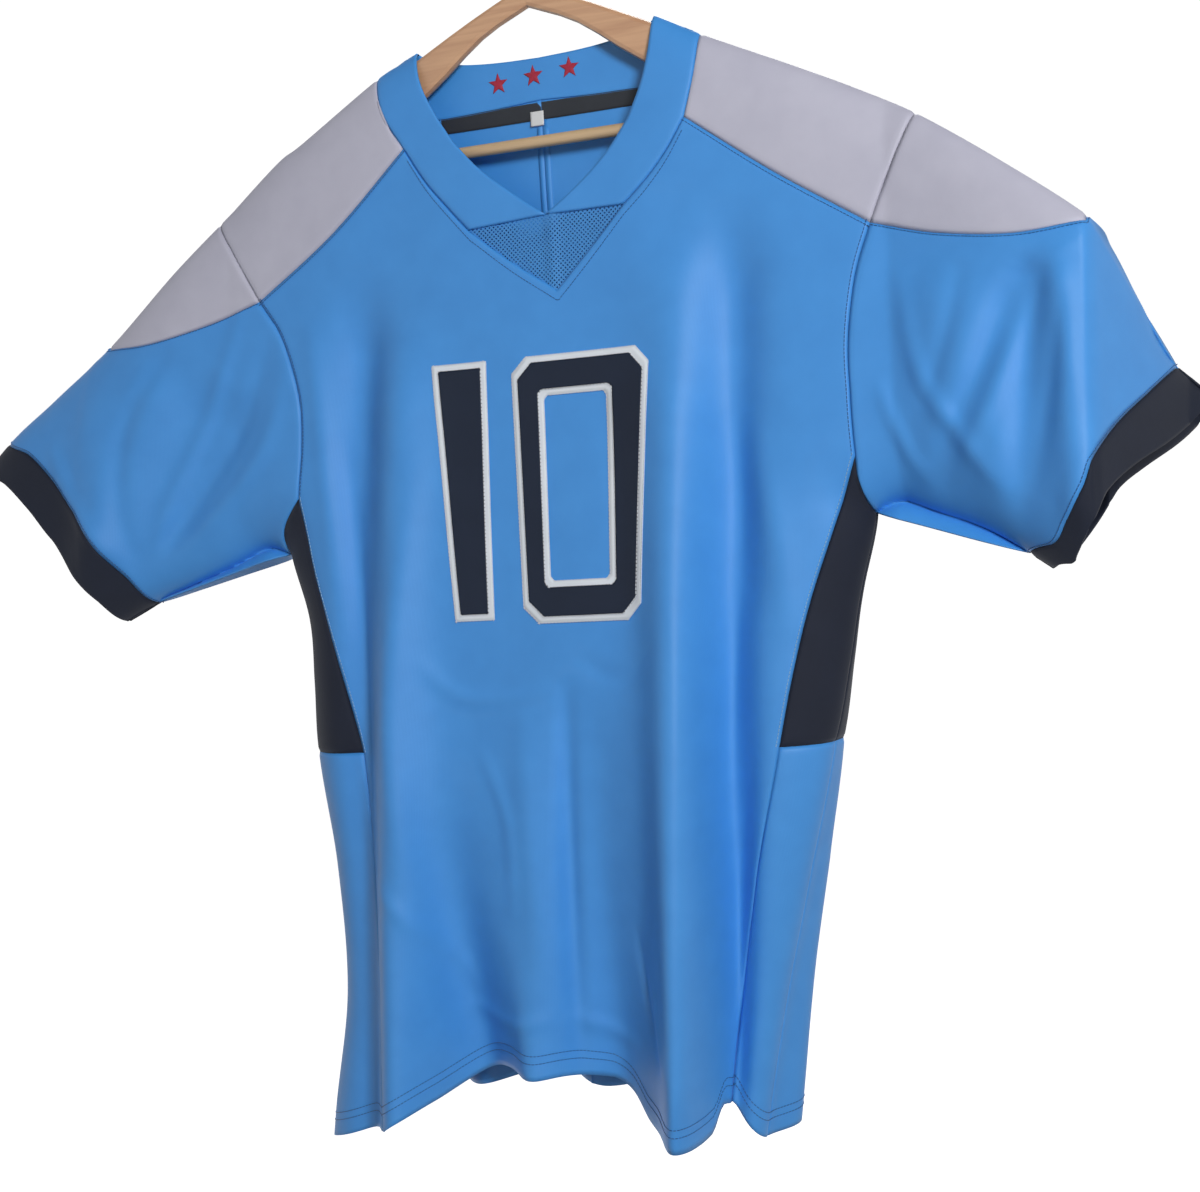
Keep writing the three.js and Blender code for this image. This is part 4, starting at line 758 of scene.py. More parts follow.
# Sleeve caps
# Grey leaves that carry the yoke's colour over the sleeve's head and end in a point.
for side, hand in ((-1, "left"), (1, "right")):
    v = even(CAP)
    arm_top, cap_tip = POINTS[side]["arm top"], POINTS[side]["cap tip"]
    crest = shoulder_point(arm_top[0] + (cap_tip[0] - arm_top[0]) * v, side)
    halves = []
    for front in (True, False):
        low = SEAMS[side, front]["cap"][:, [0, 2]]
        t = (even(OVER) ** 2)[None, :, None]
        flat = crest[:, None] * (1 - t) + low[:, None] * t
        half = cloth(flat[..., 0], flat[..., 1], front, (t[..., 0] == 0) & np.ones_like(v, bool)[:, None])
        half[:, -1] = SEAMS[side, front]["cap"]
        halves.append(half)
    grid = np.concatenate([halves[0][:, ::-1], halves[1][:, 1:]], axis=1)
    grid[0] = over_shoulder(side, "over_arm")
    crest_tip = cloth(side * cap_tip[0], cap_tip[1], True, True)
    n = OVER * FINE
    for k in range(n + 1):
        grid[-1, n - k] = crest_tip + (SEAMS[side, True]["cap"][-1] - crest_tip) * k / n
        grid[-1, n + k] = crest_tip + (SEAMS[side, False]["cap"][-1] - crest_tip) * k / n
    draw_panel(f"sleeve_cap_{hand}", grid, flip=side > 0)

# Sleeves
# Blue knit, one piece from the underarm seam over the top and down behind, sewn to the cap and the armhole.
SLEEVE = 7
CUFF_DRAW_IN = 0.06


def cuff_ring(side, out, draw_in, count):
    """Points round the cuff, from the underarm by the front, at a share of its width out from its seam."""
    top, low = (np.array(p, float) for p in CUFF_SEAM[side])
    t = np.linspace(0, 1, count + 1)
    lift = (1 - np.cos(2 * math.pi * np.minimum(t, 1 - t))) / 2
    away = np.stack([read_table(CUFF_RUN[side], 1, lift), read_table(CUFF_RUN[side], 2, lift)], 1)
    bow = read_table(CUFF_BOW, 1 if side > 0 else 2, lift)[:, None] * np.where(t <= 0.5, 1.0, 0.4)[:, None]
    bow = bow * away / np.linalg.norm(away, axis=1, keepdims=True)
    flat = low + (top - low) * lift[:, None] + out * away + bow
    on_edge = (lift < 1e-9) | (lift > 1 - 1e-9)
    ahead = cloth(side * flat[:, 0], flat[:, 1], True, on_edge)
    behind = cloth(side * flat[:, 0], flat[:, 1], False, on_edge)
    ring = np.where((t <= 0.5)[:, None], ahead, behind)
    ring[:, 1] += draw_in * (sleeve_stand(side * flat[:, 0]) - ring[:, 1])
    return ring


for side, hand in ((-1, "left"), (1, "right")):
    cap_tip = POINTS[side]["cap tip"]
    crest_tip = cloth(side * cap_tip[0], cap_tip[1], True, True)
    halves = []
    for front in (True, False):
        s = SEAMS[side, front]
        halves.append(join(s["insert_top"][::-1], s["armhole"], s["cap"]))
    n = FINE
    tip_front = halves[0][-1] + (crest_tip - halves[0][-1]) * np.linspace(0, 1, n + 1)[1:, None]
    tip_back = crest_tip + (halves[1][-1] - crest_tip) * np.linspace(0, 1, n + 1)[1:, None]
    inner = np.vstack([halves[0], tip_front, tip_back, halves[1][::-1][1:]])
    count = len(inner) - 1
    ring = cuff_ring(side, 0, 0, count)
    v = even(SLEEVE)[:, None]
    x = inner[None, :, 0] * (1 - v) + ring[None, :, 0] * v
    z = inner[None, :, 2] * (1 - v) + ring[None, :, 2] * v
    half_count = count // 2
    grid = np.concatenate([cloth(x[:, :half_count + 1], z[:, :half_count + 1], True),
                           cloth(x[:, half_count + 1:], z[:, half_count + 1:], False)], axis=1)
    low = through([POINTS[side]["pit"], *UNDERARM[side], CUFF_SEAM[side][1]], even(SLEEVE))
    grid[:, 0] = grid[:, -1] = cloth(side * low[:, 0], low[:, 1], True, True)
    crest = shoulder_point(cap_tip[0] + (CUFF_SEAM[side][0][0] - cap_tip[0]) * even(SLEEVE), side)
    grid[:, half_count] = cloth(crest[:, 0], crest[:, 1], True, True)
    grid[0], grid[-1] = inner, ring
    draw_panel(f"sleeve_{hand}", grid, flip=side > 0)
    rings = [cuff_ring(side, out, out * CUFF_DRAW_IN, count) for out in np.linspace(0, 1, 2 * FINE + 1)]
    draw_panel(f"cuff_{hand}", np.stack(rings), flip=side > 0)

# Collar
# A folded band of the blue knit, from the vee over both shoulders and round the back of the neck.


def neckline(side, front):
    p, run = POINTS[side], RUNS[side]
    if front:
        corner = run["neckline"][-1]
        lower, upper = run["neckline"], [p["neck"], *run["neck"], corner]
        start = VEE_INNER
    else:
        corner = (76, -115)
        lower = [(30, -120), (56, -118), corner]
        upper = [p["neck"], (p["neck"][0] - 4, -110), (87, -112.5), corner]
        start = BACK_NECK
    lower, upper = ([(side * x, z) for x, z in part] for part in (lower, upper))
    return join(seam_line([start, *lower], even(RISE if front else NAPE), front),
                seam_line(upper, even(OVER) ** 2, front, True)[::-1])


collar_outer = join(front_collar_seam(-1), back_collar_seam(-1)[::-1],
                    back_collar_seam(1), front_collar_seam(1)[::-1])
collar_inner = join(neckline(-1, True), neckline(-1, False)[::-1],
                    neckline(1, False), neckline(1, True)[::-1])
crossing = (RISE + OVER) * FINE
last = len(collar_outer) - 1
w = np.linspace(0, 1, 2 * FINE + 1)[None, :]
x = collar_outer[:, 0:1] * (1 - w) + collar_inner[:, 0:1] * w
z = collar_outer[:, 2:3] * (1 - w) + collar_inner[:, 2:3] * w
in_front = (np.arange(last + 1) <= crossing) | (np.arange(last + 1) >= last - crossing)
collar = np.where(in_front[:, None, None], cloth(x, z, True), cloth(x, z, False))
for i in (crossing, last - crossing):
    crest = shoulder_point(np.abs(x[i]), np.sign(x[i, 0]))
    collar[i] = cloth(crest[:, 0], crest[:, 1], True, True)
collar[:, 0], collar[:, -1] = collar_outer, collar_inner
draw_panel("collar", collar)

# Mesh gusset
# A small triangle of open mesh that fills the bottom of the vee, under the ends of the collar.
gusset_sides = {}
for side in (1, -1):
    points = [(side * x, z) for x, z in (*RUNS[side]["vee"], POINTS[side]["vee corner"])]
    gusset_sides[side] = seam_line([(VEE_TIP[0] + 1.2 * side, VEE_TIP[1] + 1), *points], even(VEE), True)
u = even(2 * VEE)[None, :]
x = gusset_sides[-1][:, 0:1] * (1 - u) + gusset_sides[1][:, 0:1] * u
z = gusset_sides[-1][:, 2:3] * (1 - u) + gusset_sides[1][:, 2:3] * u
corners = gusset_sides[-1][-1], gusset_sides[1][-1]
x[-1] = np.interp(u[0], (0, 0.5, 1), (corners[0][0], VEE_INNER[0], corners[1][0]))
z[-1] = np.interp(u[0], (0, 0.5, 1), (corners[0][2], VEE_INNER[1], corners[1][2]))
gusset = cloth(x, z, True)
gusset[:, 0], gusset[:, -1] = gusset_sides[-1], gusset_sides[1]
draw_panel("mesh_gusset", gusset)

# Figures on the front
# Plain block numerals: a navy twill face on a wider white one, laid on the front and sewn down all round.
FIGURE_EDGE = 4.5
# figure: its blocks, each as left and right at its top, left and right at its foot, top and foot, corner cut
FIGURES = {
    "one": [((-87, -42), (-74, -42), (-350, -545), 0)],
    "zero": [((-21, 93), (-17, 80), (-350, -549), 12), ((5, 56), (6, 54), (-380, -518), 3)],
}
TWILL_PITCH = 0.8
navy_twill = knit_cloth("navy twill", (0.0085, 0.016, 0.036), (0.007, 0.0135, 0.031), 0.6, 0.03,
                        pitch=TWILL_PITCH, gloss=0.2)
white_twill = knit_cloth("white twill", (0.86, 0.91, 0.97), (0.8, 0.86, 0.93), 0.6, 0.1, pitch=TWILL_PITCH)


def lie_on(x, z, out, front=True):
    """Places on the front or back sheet, moved towards the viewer along its facing."""
    step = 0.8
    rightwards = cloth(x + step, z, front) - cloth(x - step, z, front)
    upwards = cloth(x, z + step, front) - cloth(x, z - step, front)
    n = np.cross(rightwards, upwards)
    n = n / np.linalg.norm(n, axis=-1, keepdims=True)
    return cloth(x, z, front) + n * np.asarray(out, float)[..., None]


def sewn_on(name, grid, material, thickness, closed=False, body="root"):
    """A thin piece on a grid of points in millimetres, whose columns run round and meet if it is closed."""
    rows, columns = grid.shape[:2]
    index = np.arange(rows * columns).reshape(rows, columns)
    if closed:
        index = np.hstack([index, index[:, :1]])
    quads = np.stack([index[:-1, :-1], index[:-1, 1:], index[1:, 1:], index[1:, :-1]], -1).reshape(-1, 4)
    mesh = bpy.data.meshes.new(name)
    mesh.from_pydata((grid.reshape(-1, 3) / 1000.0).tolist(), [], quads.tolist())
    shape = bmesh.new()
    shape.from_mesh(mesh)
    bmesh.ops.remove_doubles(shape, verts=shape.verts, dist=1e-6)
    shape.to_mesh(mesh)
    shape.free()
    mesh.shade_smooth()
    mesh.materials.append(material)
    piece = bpy.data.objects.new(name, mesh)
    bpy.context.scene.collection.objects.link(piece)
    wall = piece.modifiers.new("cloth thickness", "SOLIDIFY")
    wall.thickness = thickness / 1000.0
    wall.offset = -1.0
    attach(piece, body)
    return piece


def block_corners(block, inset):
    top, foot, (high, low), corner = block
    high, low, cut = high - inset, low + inset, max(corner, 0.5)

    def side(k, z):
        share = (z - block[2][1]) / (block[2][0] - block[2][1])
        return foot[k] + (top[k] - foot[k]) * share + (-inset if k else inset)
    return [(side(0, low) + cut, low), (side(1, low) - cut, low), (side(1, low + cut), low + cut),
            (side(1, high - cut), high - cut), (side(1, high) - cut, high), (side(0, high) + cut, high),
            (side(0, high - cut), high - cut), (side(0, low + cut), low + cut)]


def round_block(corners, counts):
    """Points round a block's corners, the given number along each of its eight sides."""
    parts = []
    for (ax, az), (bx, bz), n in zip(corners, corners[1:] + corners[:1], counts):
        t = np.arange(n) / n
        parts.append(np.stack([ax + (bx - ax) * t, az + (bz - az) * t], 1))
    return np.vstack(parts)


SIDE_COUNTS = [36, 6, 66, 6, 36, 6, 66, 6]
# how far the white and the navy layer lie out from the front's grid, and how thick each is
EDGE_OUT, NUMERAL_OUT, TWILL = 1.3, 1.95, 0.55
figure_outlines = []
for figure, blocks in FIGURES.items():
    layers = (("_edge", 0.0, EDGE_OUT, white_twill), ("", FIGURE_EDGE, NUMERAL_OUT, navy_twill))
    for label, inset, out, material in layers:
        outside = round_block(block_corners(blocks[0], inset), SIDE_COUNTS)
        figure_outlines.append((outside, out))
        if len(blocks) == 2:
            inside = round_block(block_corners(blocks[1], -inset), SIDE_COUNTS)
            figure_outlines.append((inside, out))
            t = np.linspace(0, 1, 11)[:, None, None]
            flat = outside[None] * (1 - t) + inside[None] * t
            grid = lie_on(flat[..., 0], flat[..., 1], np.full(flat.shape[:2], out))
            piece = sewn_on(f"figure_{figure}{label}", grid, material, TWILL, closed=True)
        else:
            c = block_corners(blocks[0], inset)
            v, u = np.linspace(0, 1, 80)[:, None], np.linspace(0, 1, 19)[None, :]
            left, right = c[7][0] + (c[6][0] - c[7][0]) * v, c[2][0] + (c[3][0] - c[2][0]) * v
            x, z = left + (right - left) * u, c[0][1] + (c[5][1] - c[0][1]) * v + 0 * u
            grid = lie_on(x, z, np.full(x.shape, out))
            piece = sewn_on(f"figure_{figure}{label}", grid, material, TWILL)
        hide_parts(f"digit_{figure}{label}")

# Inside the back of the neck
# Three embroidered red stars on the collar, a woven charcoal tape over its seam, a small blank label, and the
# strip that covers the middle seam of the back.
red_thread = knit_cloth("red satin thread", (0.43, 0.011, 0.044), (0.36, 0.009, 0.036), 0.42, 0.2, pitch=0.6)
charcoal_tape = knit_cloth("charcoal tape", (0.022, 0.027, 0.036), (0.018, 0.022, 0.03), 0.8, 0.2,
                           pitch=1.4, bump=0.6)
white_label = knit_cloth("white label", (0.8, 0.82, 0.83), (0.74, 0.76, 0.78), 0.55, 0.1, pitch=0.5)
# the middle star's place, the distance to the next and its rise per millimetre, a star's points and notches
STAR_PLACE, STAR_APART, STAR_CLIMB = (-5, -134), 30, 0.06
STAR_POINT, STAR_NOTCH = 8.5, 3.57
for place, name in ((-1, "left"), (0, "middle"), (1, "right")):
    star_x = STAR_PLACE[0] + STAR_APART * place
    star_z = STAR_PLACE[1] + STAR_CLIMB * STAR_APART * place
    tips = []
    for i in range(10):
        reach_out = STAR_POINT if i % 2 == 0 else STAR_NOTCH
        angle = -math.pi / 2 + i * math.pi / 5
        tips.append((star_x + reach_out * math.cos(angle), star_z - reach_out * math.sin(angle)))
    tips = tips[::-1]
    ring = []
    for (ax, az), (bx, bz) in zip(tips, tips[1:] + tips[:1]):
        t = np.arange(5) / 5
        ring.append(np.stack([ax + (bx - ax) * t, az + (bz - az) * t], 1))
    ring = np.vstack(ring)
    t = np.linspace(1, 0, 7)[:, None, None]
    flat = np.array([star_x, star_z]) * (1 - t) + ring[None] * t
    out = 1.9 - 0.5 * t[..., 0] ** 2 + 0 * flat[..., 0]
    piece = sewn_on(f"embroidered_star_{name}", lie_on(flat[..., 0], flat[..., 1], out, False),
                    red_thread, 0.7, closed=True)
    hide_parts(f"star_{name}")

TAPE_HALF_LENGTH, TAPE_WIDTH, TAPE_FOOT = 86, 13, -167.5
v, u = np.linspace(0, 1, 7)[:, None], np.linspace(-1, 1, 73)[None, :]
x, z = TAPE_HALF_LENGTH * u + 0 * v, TAPE_FOOT + TAPE_WIDTH * v + 0 * u
tape = sewn_on("woven_neck_tape", lie_on(x, z, 1.35 + 0 * x, False), charcoal_tape, 0.6)
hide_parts("neck_tape")
LABEL_HALF_WIDTH, LABEL_HEIGHT = 5.5, 11
v, u = np.linspace(0, 1, 9)[:, None], np.linspace(-1, 1, 9)[None, :]
x, z = -4 + LABEL_HALF_WIDTH * u + 0 * v, -172 + LABEL_HEIGHT * v + 0 * u
label = sewn_on("blank_label", lie_on(x, z, 2.2 + 0.9 * (1 - v) ** 2 + 0 * u, False), white_label, 0.4)
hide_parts("label")

STRIP_HALF_WIDTH, STRIP_OUT, STRIP_TOP = 5, 0.85, -170.5
left_half, right_half = PANELS["back_left"][0], PANELS["back_right"][0]
strip_rows = [j for j in range(2 * FINE, len(left_half)) if left_half[j, 0, 2] < STRIP_TOP]
strip_grid = []
for j in strip_rows:
    n = PANELS["back_left"][1][j, 0] + PANELS["back_right"][1][j, 0]
    n = n / np.linalg.norm(n)
    line = []
    for share in (-1, -0.5, 0, 0.5, 1):
        half = left_half if share < 0 else right_half
        far = arc(half[j:j + 1], 1)[0]
        across = STRIP_HALF_WIDTH * abs(share)
        line.append([np.interp(across, far, half[j, :, k]) - STRIP_OUT * n[k] for k in range(3)])
    strip_grid.append(line)
strip = sewn_on("seam_strip", np.array(strip_grid), sky_knit, 0.35)
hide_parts("back_seam_tape")

# Sewing the panels together
# Each panel's edge sinks a little where it is sewn to its neighbour. The gusset is cut from open mesh
# instead: a lattice of small cells, each opened by a hole, that lies behind the edges of the vee.
cloth_pieces = {}
for name in list(PANELS):
    if name == "mesh_gusset":
        continue
    navy = "insert" in name or "cuff" in name
    grey = "yoke" in name or "cap" in name
    material = dark_knit if navy else grey_knit if grey else sky_knit
    open_edges = {"cuff_left": ("top",), "cuff_right": ("top",), "collar": ("right",)}.get(name, ())
    if name in ("front", "back_left", "back_right") or name.endswith("lower"):
        open_edges = ("bottom",)
    thickness = FOLDED_CLOTH if name in ("collar", "cuff_left", "cuff_right") else CLOTH
    cloth_pieces[name] = sew_panel(name, material, open_edges=open_edges, thickness=thickness)
    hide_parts(name)


def node_tree(name, numbers, material_name):
    """A geometry node tree with named inputs, and its input and output nodes."""
    tree = bpy.data.node_groups.new(name, "GeometryNodeTree")
    tree.interface.new_socket("Geometry", in_out="INPUT", socket_type="NodeSocketGeometry")
    for label, value in numbers:
        tree.interface.new_socket(label, in_out="INPUT", socket_type="NodeSocketFloat").default_value = value
    tree.interface.new_socket(material_name, in_out="INPUT", socket_type="NodeSocketMaterial")
    tree.interface.new_socket("Geometry", in_out="OUTPUT", socket_type="NodeSocketGeometry")
    return tree, tree.nodes.new("NodeGroupInput"), tree.nodes.new("NodeGroupOutput")


def made_by(tree, mesh, name, values):
    """The plain mesh object that a tree makes of a mesh, with its inputs set by socket identifier."""
    source = bpy.data.objects.new(name + "_source", mesh)
    bpy.context.scene.collection.objects.link(source)
    modifier = source.modifiers.new("maker", "NODES")
    modifier.node_group = tree
    for item in tree.interface.items_tree:
        if item.name in values:
            modifier[item.identifier] = values[item.name]
    bpy.context.view_layer.update()
    made = bpy.data.meshes.new_from_object(source.evaluated_get(bpy.context.evaluated_depsgraph_get()))
    source.modifiers.remove(modifier)
    bpy.data.objects.remove(source)
    piece = bpy.data.objects.new(name, made)
    bpy.context.scene.collection.objects.link(piece)
    return piece


def hole_tree():
    """A tree that cuts a hole in every face, of a given share of the face's size."""
    tree, given, result = node_tree("open mesh", (("Hole share", 0.6),), "Cloth")
    lift = tree.nodes.new("GeometryNodeExtrudeMesh")
    lift.mode = "FACES"
    lift.inputs["Individual"].default_value = True
    lift.inputs["Offset Scale"].default_value = 0.0
    shrink = tree.nodes.new("GeometryNodeScaleElements")
    cut = tree.nodes.new("GeometryNodeDeleteGeometry")
    cut.domain = "FACE"
    realize = tree.nodes.new("GeometryNodeRealizeInstances")
    coat = tree.nodes.new("GeometryNodeSetMaterial")
    link = tree.links.new
    link(given.outputs["Geometry"], lift.inputs["Mesh"])
    link(lift.outputs["Mesh"], shrink.inputs["Geometry"])
    link(lift.outputs["Top"], shrink.inputs["Selection"])
    link(given.outputs["Hole share"], shrink.inputs["Scale"])
    link(shrink.outputs["Geometry"], cut.inputs["Geometry"])
    link(lift.outputs["Top"], cut.inputs["Selection"])
    link(cut.outputs["Geometry"], realize.inputs["Geometry"])
    link(realize.outputs["Geometry"], coat.inputs["Geometry"])
    link(given.outputs["Cloth"], coat.inputs["Material"])
    link(coat.outputs["Geometry"], result.inputs["Geometry"])
    return tree


mesh_cloth = knit_cloth("open mesh cloth", (0.05, 0.29, 0.72), (0.045, 0.26, 0.66), 0.6, 0.1, pitch=0.7)
gusset_grid = PANELS["mesh_gusset"][0]
border = np.vstack([gusset_grid[:, 0], gusset_grid[-1], gusset_grid[::-1, -1], gusset_grid[0, ::-1]])
border = border[:, [0, 2]]
# the cells' half width, the lattice's reach in cells, its middle's height over the vee's tip, the height of
# the gusset's middle, how far it reaches from there, and how far the lattice runs on behind the vee's edges
CELL, LATTICE_REACH, LATTICE_LIFT = 1.75, 60, 30
GUSSET_MIDDLE, GUSSET_REACH, BEHIND_EDGE = -273, 34, 2.6
cells = {}
places, faces = [], []
for i in range(-LATTICE_REACH, LATTICE_REACH):
    for j in range(-LATTICE_REACH, LATTICE_REACH):
        centre_x, centre_z = VEE_TIP[0] + (i - j) * CELL, VEE_TIP[1] + LATTICE_LIFT + (i + j) * CELL
        a, b = border[:-1], border[1:]
        crosses = (a[:, 1] > centre_z) != (b[:, 1] > centre_z)
        if not crosses.any() and abs(centre_z - GUSSET_MIDDLE) > GUSSET_REACH:
            continue
        height_share = (centre_z - a[:, 1]) / np.where(crosses, b[:, 1] - a[:, 1], 1)
        inside = (crosses & (centre_x < a[:, 0] + height_share * (b[:, 0] - a[:, 0]))).sum() % 2 == 1
        to_border = np.min(np.hypot(border[:, 0] - centre_x, border[:, 1] - centre_z))
        if not inside and to_border > BEHIND_EDGE:
            continue
        face = []
        for di, dj in ((0, 0), (1, 0), (1, 1), (0, 1)):
            key = (i + di, j + dj)
            if key not in cells:
                cells[key] = len(places)
                places.append((VEE_TIP[0] + (key[0] - key[1]) * CELL,
                               VEE_TIP[1] + LATTICE_LIFT + (key[0] + key[1] - 1) * CELL))
            face.append(cells[key])
        faces.append(face)
flat = np.array(places)
# the mesh lies behind the vee's edges and has one low upright fold: its rise, its place and its width
GUSSET_BACK, PINCH_RISE, PINCH_X, PINCH_WIDTH = 1.5, 1.3, 15, 5
pinch = PINCH_RISE * np.exp(-((flat[:, 0] - PINCH_X) / PINCH_WIDTH) ** 2) - GUSSET_BACK
lattice = bpy.data.meshes.new("gusset lattice")
lattice.from_pydata((lie_on(flat[:, 0], flat[:, 1], pinch) / 1000).tolist(), [], faces)
gusset_piece = made_by(hole_tree(), lattice, "open_mesh_gusset", {"Hole share": 0.48, "Cloth": mesh_cloth})
gusset_wall = gusset_piece.modifiers.new("cloth thickness", "SOLIDIFY")
MESH_CLOTH = 0.4
gusset_wall.thickness = MESH_CLOTH / 1000.0
gusset_wall.offset = -1.0
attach(gusset_piece, "root")
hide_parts("mesh_gusset")
cloth_pieces["mesh_gusset"] = gusset_piece

# Topstitching
# Short straight stitches of thread, set one after another beside the collar, vee, yoke, cap, armhole and cuff
# seams, in two rows round the hem, and round the figures.


# metres: from one stitch to the next, a stitch's length, and the thread's radius
STITCH_SIZES = {"Pitch": 0.0028, "Stitch length": 0.002, "Thread radius": 0.00036}


def stitch_tree():
    """A tree that sets short lengths of thread one after another along a line."""
    tree, given, result = node_tree("stitch row", STITCH_SIZES.items(), "Thread")
    to_curve = tree.nodes.new("GeometryNodeMeshToCurve")
    even_out = tree.nodes.new("GeometryNodeResampleCurve")
    even_out.mode = "LENGTH"
    stitch = tree.nodes.new("GeometryNodeMeshCylinder")
    stitch.inputs["Vertices"].default_value = 5
    tangent = tree.nodes.new("GeometryNodeInputTangent")
    turn_to = tree.nodes.new("FunctionNodeAlignRotationToVector")
    turn_to.axis = "Z"
    set_down = tree.nodes.new("GeometryNodeInstanceOnPoints")
    realize = tree.nodes.new("GeometryNodeRealizeInstances")
    coat = tree.nodes.new("GeometryNodeSetMaterial")
    link = tree.links.new
    link(given.outputs["Geometry"], to_curve.inputs["Mesh"])
    link(to_curve.outputs["Curve"], even_out.inputs["Curve"])
    link(given.outputs["Pitch"], even_out.inputs["Length"])
    link(given.outputs["Thread radius"], stitch.inputs["Radius"])
    link(given.outputs["Stitch length"], stitch.inputs["Depth"])
    link(tangent.outputs["Tangent"], turn_to.inputs["Vector"])
    link(even_out.outputs["Curve"], set_down.inputs["Points"])
    link(stitch.outputs["Mesh"], set_down.inputs["Instance"])
    link(turn_to.outputs["Rotation"], set_down.inputs["Rotation"])
    link(set_down.outputs["Instances"], realize.inputs["Geometry"])
    link(realize.outputs["Geometry"], coat.inputs["Geometry"])
    link(given.outputs["Thread"], coat.inputs["Material"])
    link(coat.outputs["Geometry"], result.inputs["Geometry"])
    return tree


# how far the thread's middle lies out from a panel's grid and from the figures' faces
THREAD_OUT, THREAD_OUT_OF_FIGURE = 0.72, 0.1


def row_beside(name, edge, distance, start=0, stop=None):
    """A row on a panel's outer face, at a distance in millimetres from one of its edges."""
    grid, n, _ = PANELS[name]
    if edge in ("bottom", "top"):
        grid, n = grid.transpose(1, 0, 2), n.transpose(1, 0, 2)
    if edge in ("right", "top"):
        grid, n = grid[:, ::-1], n[:, ::-1]
    grid, n = grid[start:stop], n[start:stop]
    far = arc(grid, 1)
    return np.array([[np.interp(distance, far[i], grid[i, :, k] + THREAD_OUT * n[i, :, k]) for k in range(3)]
                     for i in range(len(grid))])


# how far the rows lie from most seams, from the collar's front and back, and from the hem's edge
SEAM_ROW, COLLAR_ROW, NAPE_ROW, HEM_ROWS = 2.6, 8.5, 6.0, (13, 19)
yoke_end, vee_end = YOKE * FINE, (YOKE + 2 * RISE + 2 * VEE) * FINE
insert_row, arm_row = LOWER * FINE, (LOWER + UPPER) * FINE
cap_start, cap_end = (INSERT + ARMHOLE) * FINE, (INSERT + ARMHOLE + 2 * CAP + 2) * FINE
sides = (("front", "left"), ("front", "right"), ("back_left", "right"), ("back_right", "right"))
blue_rows = [
    row_beside("front", "top", COLLAR_ROW, yoke_end + 1, vee_end),
    row_beside("front", "top", SEAM_ROW, 0, yoke_end + 1),
    row_beside("front", "top", SEAM_ROW, vee_end),
]
blue_rows += [row_beside(name, edge, SEAM_ROW, arm_row) for name, edge in sides]
for name in ("back_left", "back_right"):
    blue_rows += [row_beside(name, "top", NAPE_ROW, 0, NAPE * FINE + 1),
                  row_beside(name, "top", SEAM_ROW, NAPE * FINE)]
for name in ("sleeve_left", "sleeve_right"):
    blue_rows += [row_beside(name, "bottom", SEAM_ROW, cap_start, cap_end + 1),
                  row_beside(name, "top", SEAM_ROW)]
for name in PANELS:
    if name in ("front", "back_left", "back_right") or name.endswith("lower"):
        blue_rows += [row_beside(name, "bottom", distance) for distance in HEM_ROWS]
pale_rows = [row_beside(name, edge, SEAM_ROW, insert_row, arm_row + 1) for name, edge in sides]
white_rows = []
for outline_points, out in figure_outlines:
    closed_line = np.vstack([outline_points, outline_points[:1]])
    thread_out = np.full(len(closed_line), out + THREAD_OUT_OF_FIGURE)
    white_rows.append(lie_on(closed_line[:, 0], closed_line[:, 1], thread_out))


def thread(name, colour):
    return knit_cloth(name, colour, tuple(0.85 * c for c in colour), 0.5, 0.1, pitch=0.4)


STITCHES = stitch_tree()
for name, rows, material, slot in (
        ("stitches_blue", blue_rows, thread("blue thread", (0.022, 0.13, 0.36)), "blue_knit"),
        ("stitches_pale", pale_rows, thread("pale blue thread", (0.3, 0.55, 0.8)), "blue_knit"),
        ("stitches_white", white_rows, thread("white thread", (0.82, 0.85, 0.9)), "white_cloth")):
    starts = np.cumsum([0] + [len(row) for row in rows])
    edges = [(start + i, start + i + 1) for start, row in zip(starts, rows) for i in range(len(row) - 1)]
    path = bpy.data.meshes.new(name + " path")
    path.from_pydata((np.vstack(rows) / 1000.0).tolist(), edges, [])
    piece = made_by(STITCHES, path, name, {**STITCH_SIZES, "Thread": material})
    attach(piece, "root")

# Hanger
# Shaped beech arms with a clear varnish, a thin round bar of paler wood between them, and a bright wire hook.


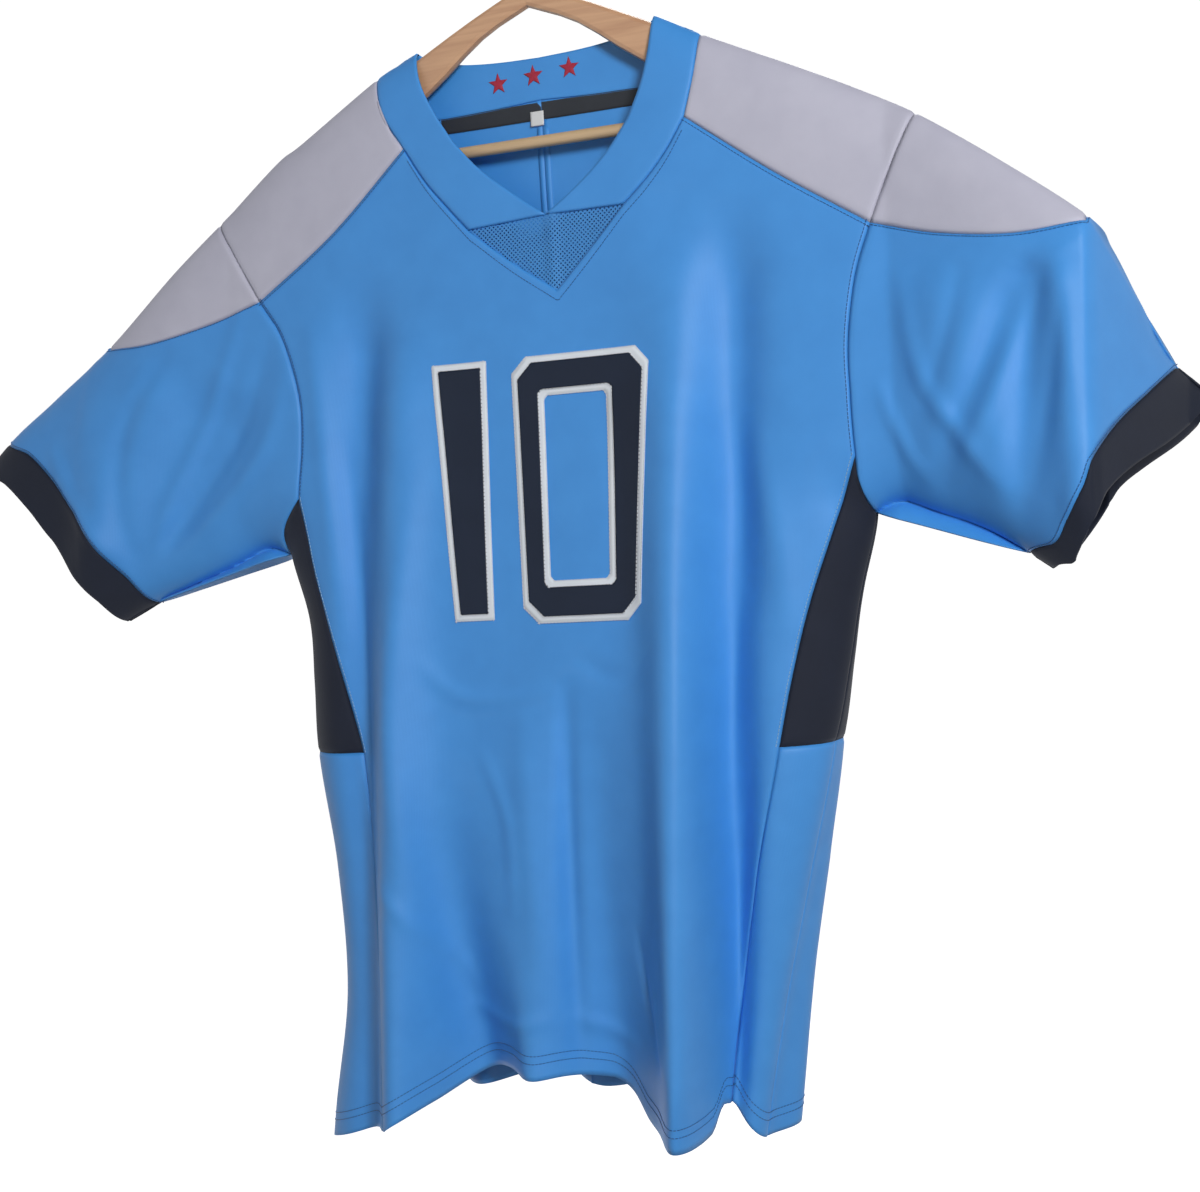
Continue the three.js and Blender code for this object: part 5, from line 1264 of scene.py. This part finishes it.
def varnished_wood(name, light, dark, roughness):
    material = bpy.data.materials.new(name)
    material.use_nodes = True
    nodes, links = material.node_tree.nodes, material.node_tree.links
    shader = nodes["Principled BSDF"]
    shader.inputs["Roughness"].default_value = roughness
    shader.inputs["Coat Weight"].default_value = 0.3
    shader.inputs["Coat Roughness"].default_value = 0.25
    where = nodes.new("ShaderNodeTexCoord")
    stretch = nodes.new("ShaderNodeMapping")
    stretch.inputs["Scale"].default_value = (6.0, 60.0, 110.0)
    links.new(where.outputs["Object"], stretch.inputs["Vector"])
    grain = nodes.new("ShaderNodeTexNoise")
    grain.inputs["Scale"].default_value = 1.6
    grain.inputs["Detail"].default_value = 6.0
    grain.inputs["Distortion"].default_value = 0.6
    links.new(stretch.outputs["Vector"], grain.inputs["Vector"])
    tones = nodes.new("ShaderNodeValToRGB")
    tones.color_ramp.elements[0].position = 0.35
    tones.color_ramp.elements[0].color = (*dark, 1)
    tones.color_ramp.elements[1].position = 0.65
    tones.color_ramp.elements[1].color = (*light, 1)
    links.new(grain.outputs["Fac"], tones.inputs["Fac"])
    links.new(tones.outputs["Color"], shader.inputs["Base Color"])
    relief = nodes.new("ShaderNodeBump")
    relief.inputs["Strength"].default_value = 0.12
    relief.inputs["Distance"].default_value = 0.0004
    links.new(grain.outputs["Fac"], relief.inputs["Height"])
    links.new(relief.outputs["Normal"], shader.inputs["Normal"])
    return material


def drawn_wire():
    material = bpy.data.materials.new("polished wire")
    material.use_nodes = True
    nodes, links = material.node_tree.nodes, material.node_tree.links
    shader = nodes["Principled BSDF"]
    shader.inputs["Base Color"].default_value = (0.6, 0.61, 0.62, 1)
    shader.inputs["Metallic"].default_value = 1.0
    scuffs = nodes.new("ShaderNodeTexNoise")
    scuffs.inputs["Scale"].default_value = 240.0
    where = nodes.new("ShaderNodeTexCoord")
    links.new(where.outputs["Object"], scuffs.inputs["Vector"])
    rough = nodes.new("ShaderNodeMapRange")
    rough.inputs["To Min"].default_value = 0.14
    rough.inputs["To Max"].default_value = 0.34
    links.new(scuffs.outputs["Fac"], rough.inputs["Value"])
    links.new(rough.outputs["Result"], shader.inputs["Roughness"])
    return material


hanger_materials = {
    "hanger_wood": varnished_wood("varnished beech", (0.66, 0.38, 0.21), (0.53, 0.28, 0.15), 0.45),
    "hanger_bar": varnished_wood("pale beech", (0.66, 0.47, 0.27), (0.58, 0.4, 0.22), 0.5),
    "hanger_hook": drawn_wire(),
}
for node, material in hanger_materials.items():
    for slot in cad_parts[node].material_slots:
        slot.material = material

# The cuts
# Each panel as a flat piece before sewing: its greatest width and length along the cloth, and its area.
for name, piece in cloth_pieces.items():
    grid = PANELS[name][0]
    right, up = np.diff(grid, axis=1)[:-1], np.diff(grid, axis=0)[:, :-1]
